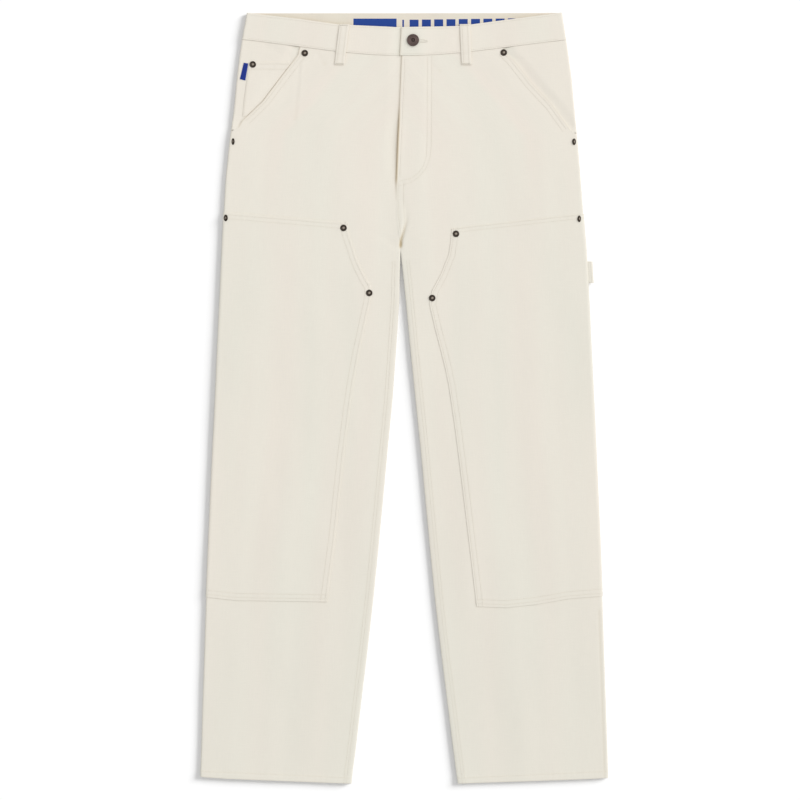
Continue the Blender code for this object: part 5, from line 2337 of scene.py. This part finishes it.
class Garment:
    """The whole pair of jeans."""

    def __init__(self) -> None:
        """Starts the dressing and the sewing."""
        self.dress = Dresser()
        self.stitcher = Stitcher(self.dress)

    def sheet(
        self,
        flat: tuple[float, float],
        area: float,
        rests_on: list[str],
    ) -> None:
        """Takes a sheet's flat size, area and what it rests on, and keeps none of them."""
        area = min(area, flat[0] * flat[1])
        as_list(rests_on)

    def panels(self) -> None:
        """Makes the laid panels and their stitches."""
        rests = {
            "front_right": ["back_right"],
            "front_left": ["back_left"],
            "back_right": ["underside"],
            "back_left": ["underside"],
            "pocket_facing_right": ["back_right"],
            "pocket_facing_left": ["back_left"],
            "coin_pocket": ["pocket_facing_right"],
            "knee_patch_right": ["front_right"],
            "knee_patch_left": ["front_left"],
        }
        found = [make(side) for make in (front_panel, back_panel, pocket_facing) for side in SIDES]
        found += [knee_patch(drawing) for drawing in PATCHES] + [coin_pocket()]
        for panel in found:
            made = panel.build(self.dress)
            if any(seam.stitched for seam in panel.seams):
                self.stitcher.sew(panel.name, panel.seams, panel.face_height, panel.slot)
            if panel.name == "pocket_facing_right":
                SideTab().build(self.dress)
            if panel.name == "front_left":
                hammer = HammerLoop()
                hammer.build(self.dress)
                self.stitcher.sew("hammer_loop", hammer.seams(), hammer.face_height, "canvas_band")
            self.sheet(panel.flat, panel.area, rests[panel.name])

    def bands(self) -> None:
        """Makes the waistband, the belt loops and their stitches."""
        for side in SIDES:
            band = HalfWaistband(side)
            made = band.build(self.dress)
            stitches = self.stitcher.sew(band.name, self.band_seams(side), band.face_height, "canvas_band")
            pieces = [stitches]
            if side is LEFT:
                pieces.append(self.buttonhole(band))
            flat = (band.length, 0.0405)
            self.sheet(flat, band.area, [f"back_{side.name}"])
        for side_name, top_edges, base_edges in BELT_LOOPS:
            loop = BeltLoop(side_name, top_edges, base_edges)
            made = loop.build(self.dress)
            pieces = [
                self.stitcher.sew(loop.name, loop.seams(), loop.face_height, "canvas_band"),
                self.bar_tacks(loop),
            ]
            self.sheet((0.0152, 0.0595), loop.area, [f"waistband_{side_name}"])

    @staticmethod
    def band_seams(side: Side) -> list[Seam]:
        """Gives the rows of stitches along the two edges of the band's front.

        Args:
            side: The half.

        Returns:
            The seams.
        """
        ends = (250.0, 400.0) if side is RIGHT else (403.0, 557.5)
        x = mm_x(np.linspace(*ends, 40))
        low = np.stack((x, FRONT_SEAM.y_at(x) + BAND_ROW_INSET), axis=-1)
        high = np.stack((x, FRONT_WAIST.y_at(x) - BAND_ROW_INSET), axis=-1)
        return [Seam("band_low", low, (0.0,)), Seam("band_high", high, (0.0,))]

    def bar_tacks(self, loop: BeltLoop) -> bpy.types.Object:
        """Makes the close stitches across both ends of a belt loop.

        Args:
            loop: The loop.

        Returns:
            The stitches.
        """
        x, y, _ = loop.plan()
        paths = []
        for row in (1, -2):
            across = np.linspace(0.12, 0.88, 8)
            px = x[row, 0] + (x[row, -1] - x[row, 0]) * across
            py = np.full_like(px, y[row, 0])
            paths.append(np.column_stack((px, py, loop.face_height(px, py) + 0.1)))
        return self.stitcher.lay(
            f"bar_tacks_{loop.name}", paths, "canvas_band",
            pitch=0.55, length=1.7, width=0.5, turn=1.45, seed=11,
        )

    def buttonhole(self, band: HalfWaistband) -> bpy.types.Object:
        """Makes the close stitches round the buttonhole.

        Args:
            band: The half waistband that it is in.

        Returns:
            The stitches.
        """
        turn = np.linspace(0.0, 2.0 * math.pi, 49)
        x = mm_x(421.0) + 9.0 * np.cos(turn)
        y = mm_y(41.2) + 1.5 * np.sin(turn) - 0.04 * (x - mm_x(421.0))
        path = np.column_stack((x, y, band.face_height(x, y) + 0.16))
        return self.stitcher.lay(
            "stitches_buttonhole", [path], "canvas_band",
            pitch=0.6, length=2.0, width=0.5, turn=1.5708, seed=5,
        )

    def build(self) -> None:
        """Makes every piece."""
        self.panels()
        self.bands()
        MetalTrim().build(self.dress)


class Receiver(Enum):
    """What a lamp lights: the floor alone, or all but the floor."""

    FLOOR = "INCLUDE"
    CLOTH = "EXCLUDE"


LAMPS = (
    # name, what it lights, elevation and width in degrees, share of a white floor's brightness
    ("floor_key", Receiver.FLOOR, 24.0, 26.0, 0.44),
    ("floor_fill", Receiver.FLOOR, 90.0, 40.0, 0.08),
    ("cloth_key", Receiver.CLOTH, 42.0, 60.0, 0.31),
    ("cloth_fill", Receiver.CLOTH, 90.0, 40.0, 0.20),
)


@dataclass
class Studio:
    """The pale floor, the soft light from the upper right and the camera straight above."""

    view_width: float = 1.12
    centre_drawing: tuple[float, float] = (400.0, 400.0)
    lens: float = 100.0
    floor_color: float = 0.985
    sky: float = 0.52
    azimuth: float = 27.0

    def build(self) -> None:
        """Makes the floor, the lights and the camera."""
        self.floor()
        self.lights()
        self.camera()

    def floor(self) -> None:
        """Makes the floor."""
        mesh = bpy.data.meshes.new("floor")
        corners = [(-4.0, -4.0, -0.0004), (4.0, -4.0, -0.0004), (4.0, 4.0, -0.0004), (-4.0, 4.0, -0.0004)]
        mesh.from_pydata(corners, [], [(0, 1, 2, 3)])
        made = add_object("floor", mesh)
        material, graph, shader = new_material("floor")
        color = opaque((self.floor_color,) * 3)
        graph.feed(shader, {"Base Color": color, "Roughness": 0.9, "Specular IOR Level": 0.1})
        mesh.materials.append(material)
        log.info("floor: stage")

    def lights(self) -> None:
        """Makes the sky and the soft lamps, seen through a plain curve that keeps the paper white."""
        bpy.context.scene.view_settings.view_transform = "Standard"
        world = bpy.data.worlds.new("studio")
        world.use_nodes = True
        background = world.node_tree.nodes["Background"]
        background.inputs["Color"].default_value = (1.0, 1.0, 1.0, 1.0)
        background.inputs["Strength"].default_value = self.sky
        bpy.context.scene.world = world
        for name, receiver, elevation, spread, share in LAMPS:
            self.lamp(name, receiver, math.radians(elevation), math.radians(spread), share)

    def lamp(self, name: str, receiver: Receiver, elevation: float, spread: float, share: float) -> None:
        """Makes a far lamp as wide as a softbox.

        Args:
            name: Its name.
            receiver: What it lights.
            elevation: Its height over the floor in radians.
            spread: How wide it looks in radians.
            share: How much of a white floor's brightness it gives.
        """
        light = bpy.data.lights.new(name, "SUN")
        light.energy = share * math.pi / math.sin(elevation)
        light.angle = spread
        made = bpy.data.objects.new(name, light)
        azimuth = math.radians(self.azimuth)
        flat = math.cos(elevation)
        towards = Vector((flat * math.cos(azimuth), flat * math.sin(azimuth), math.sin(elevation)))
        made.location = towards
        made.rotation_euler = towards.to_track_quat("Z", "Y").to_euler()
        bpy.context.scene.collection.objects.link(made)
        linked = bpy.data.collections.new(f"lit_by_{name}")
        linked.objects.link(bpy.data.objects["floor"])
        linked.collection_objects[0].light_linking.link_state = receiver.value
        made.light_linking.receiver_collection = linked

    def camera(self) -> None:
        """Makes the camera straight above, with the waist at the top of the picture."""
        lens = bpy.data.cameras.new("camera")
        lens.lens = self.lens
        lens.sensor_width = 36.0
        lens.dof.use_dof = False
        made = bpy.data.objects.new("camera", lens)
        distance = self.view_width * self.lens / lens.sensor_width
        x = float(mm_x(self.centre_drawing[0])) * METRES_PER_MM
        y = float(mm_y(self.centre_drawing[1])) * METRES_PER_MM
        made.location = (x, y, distance + 0.005)
        made.rotation_euler = (0.0, 0.0, 0.0)
        bpy.context.scene.collection.objects.link(made)
        bpy.context.scene.camera = made


def main() -> None:
    """Makes the garment and the studio."""
    Garment().build()
    Studio().build()
    bpy.context.view_layer.update()


if __name__ == "__main__":
    main()
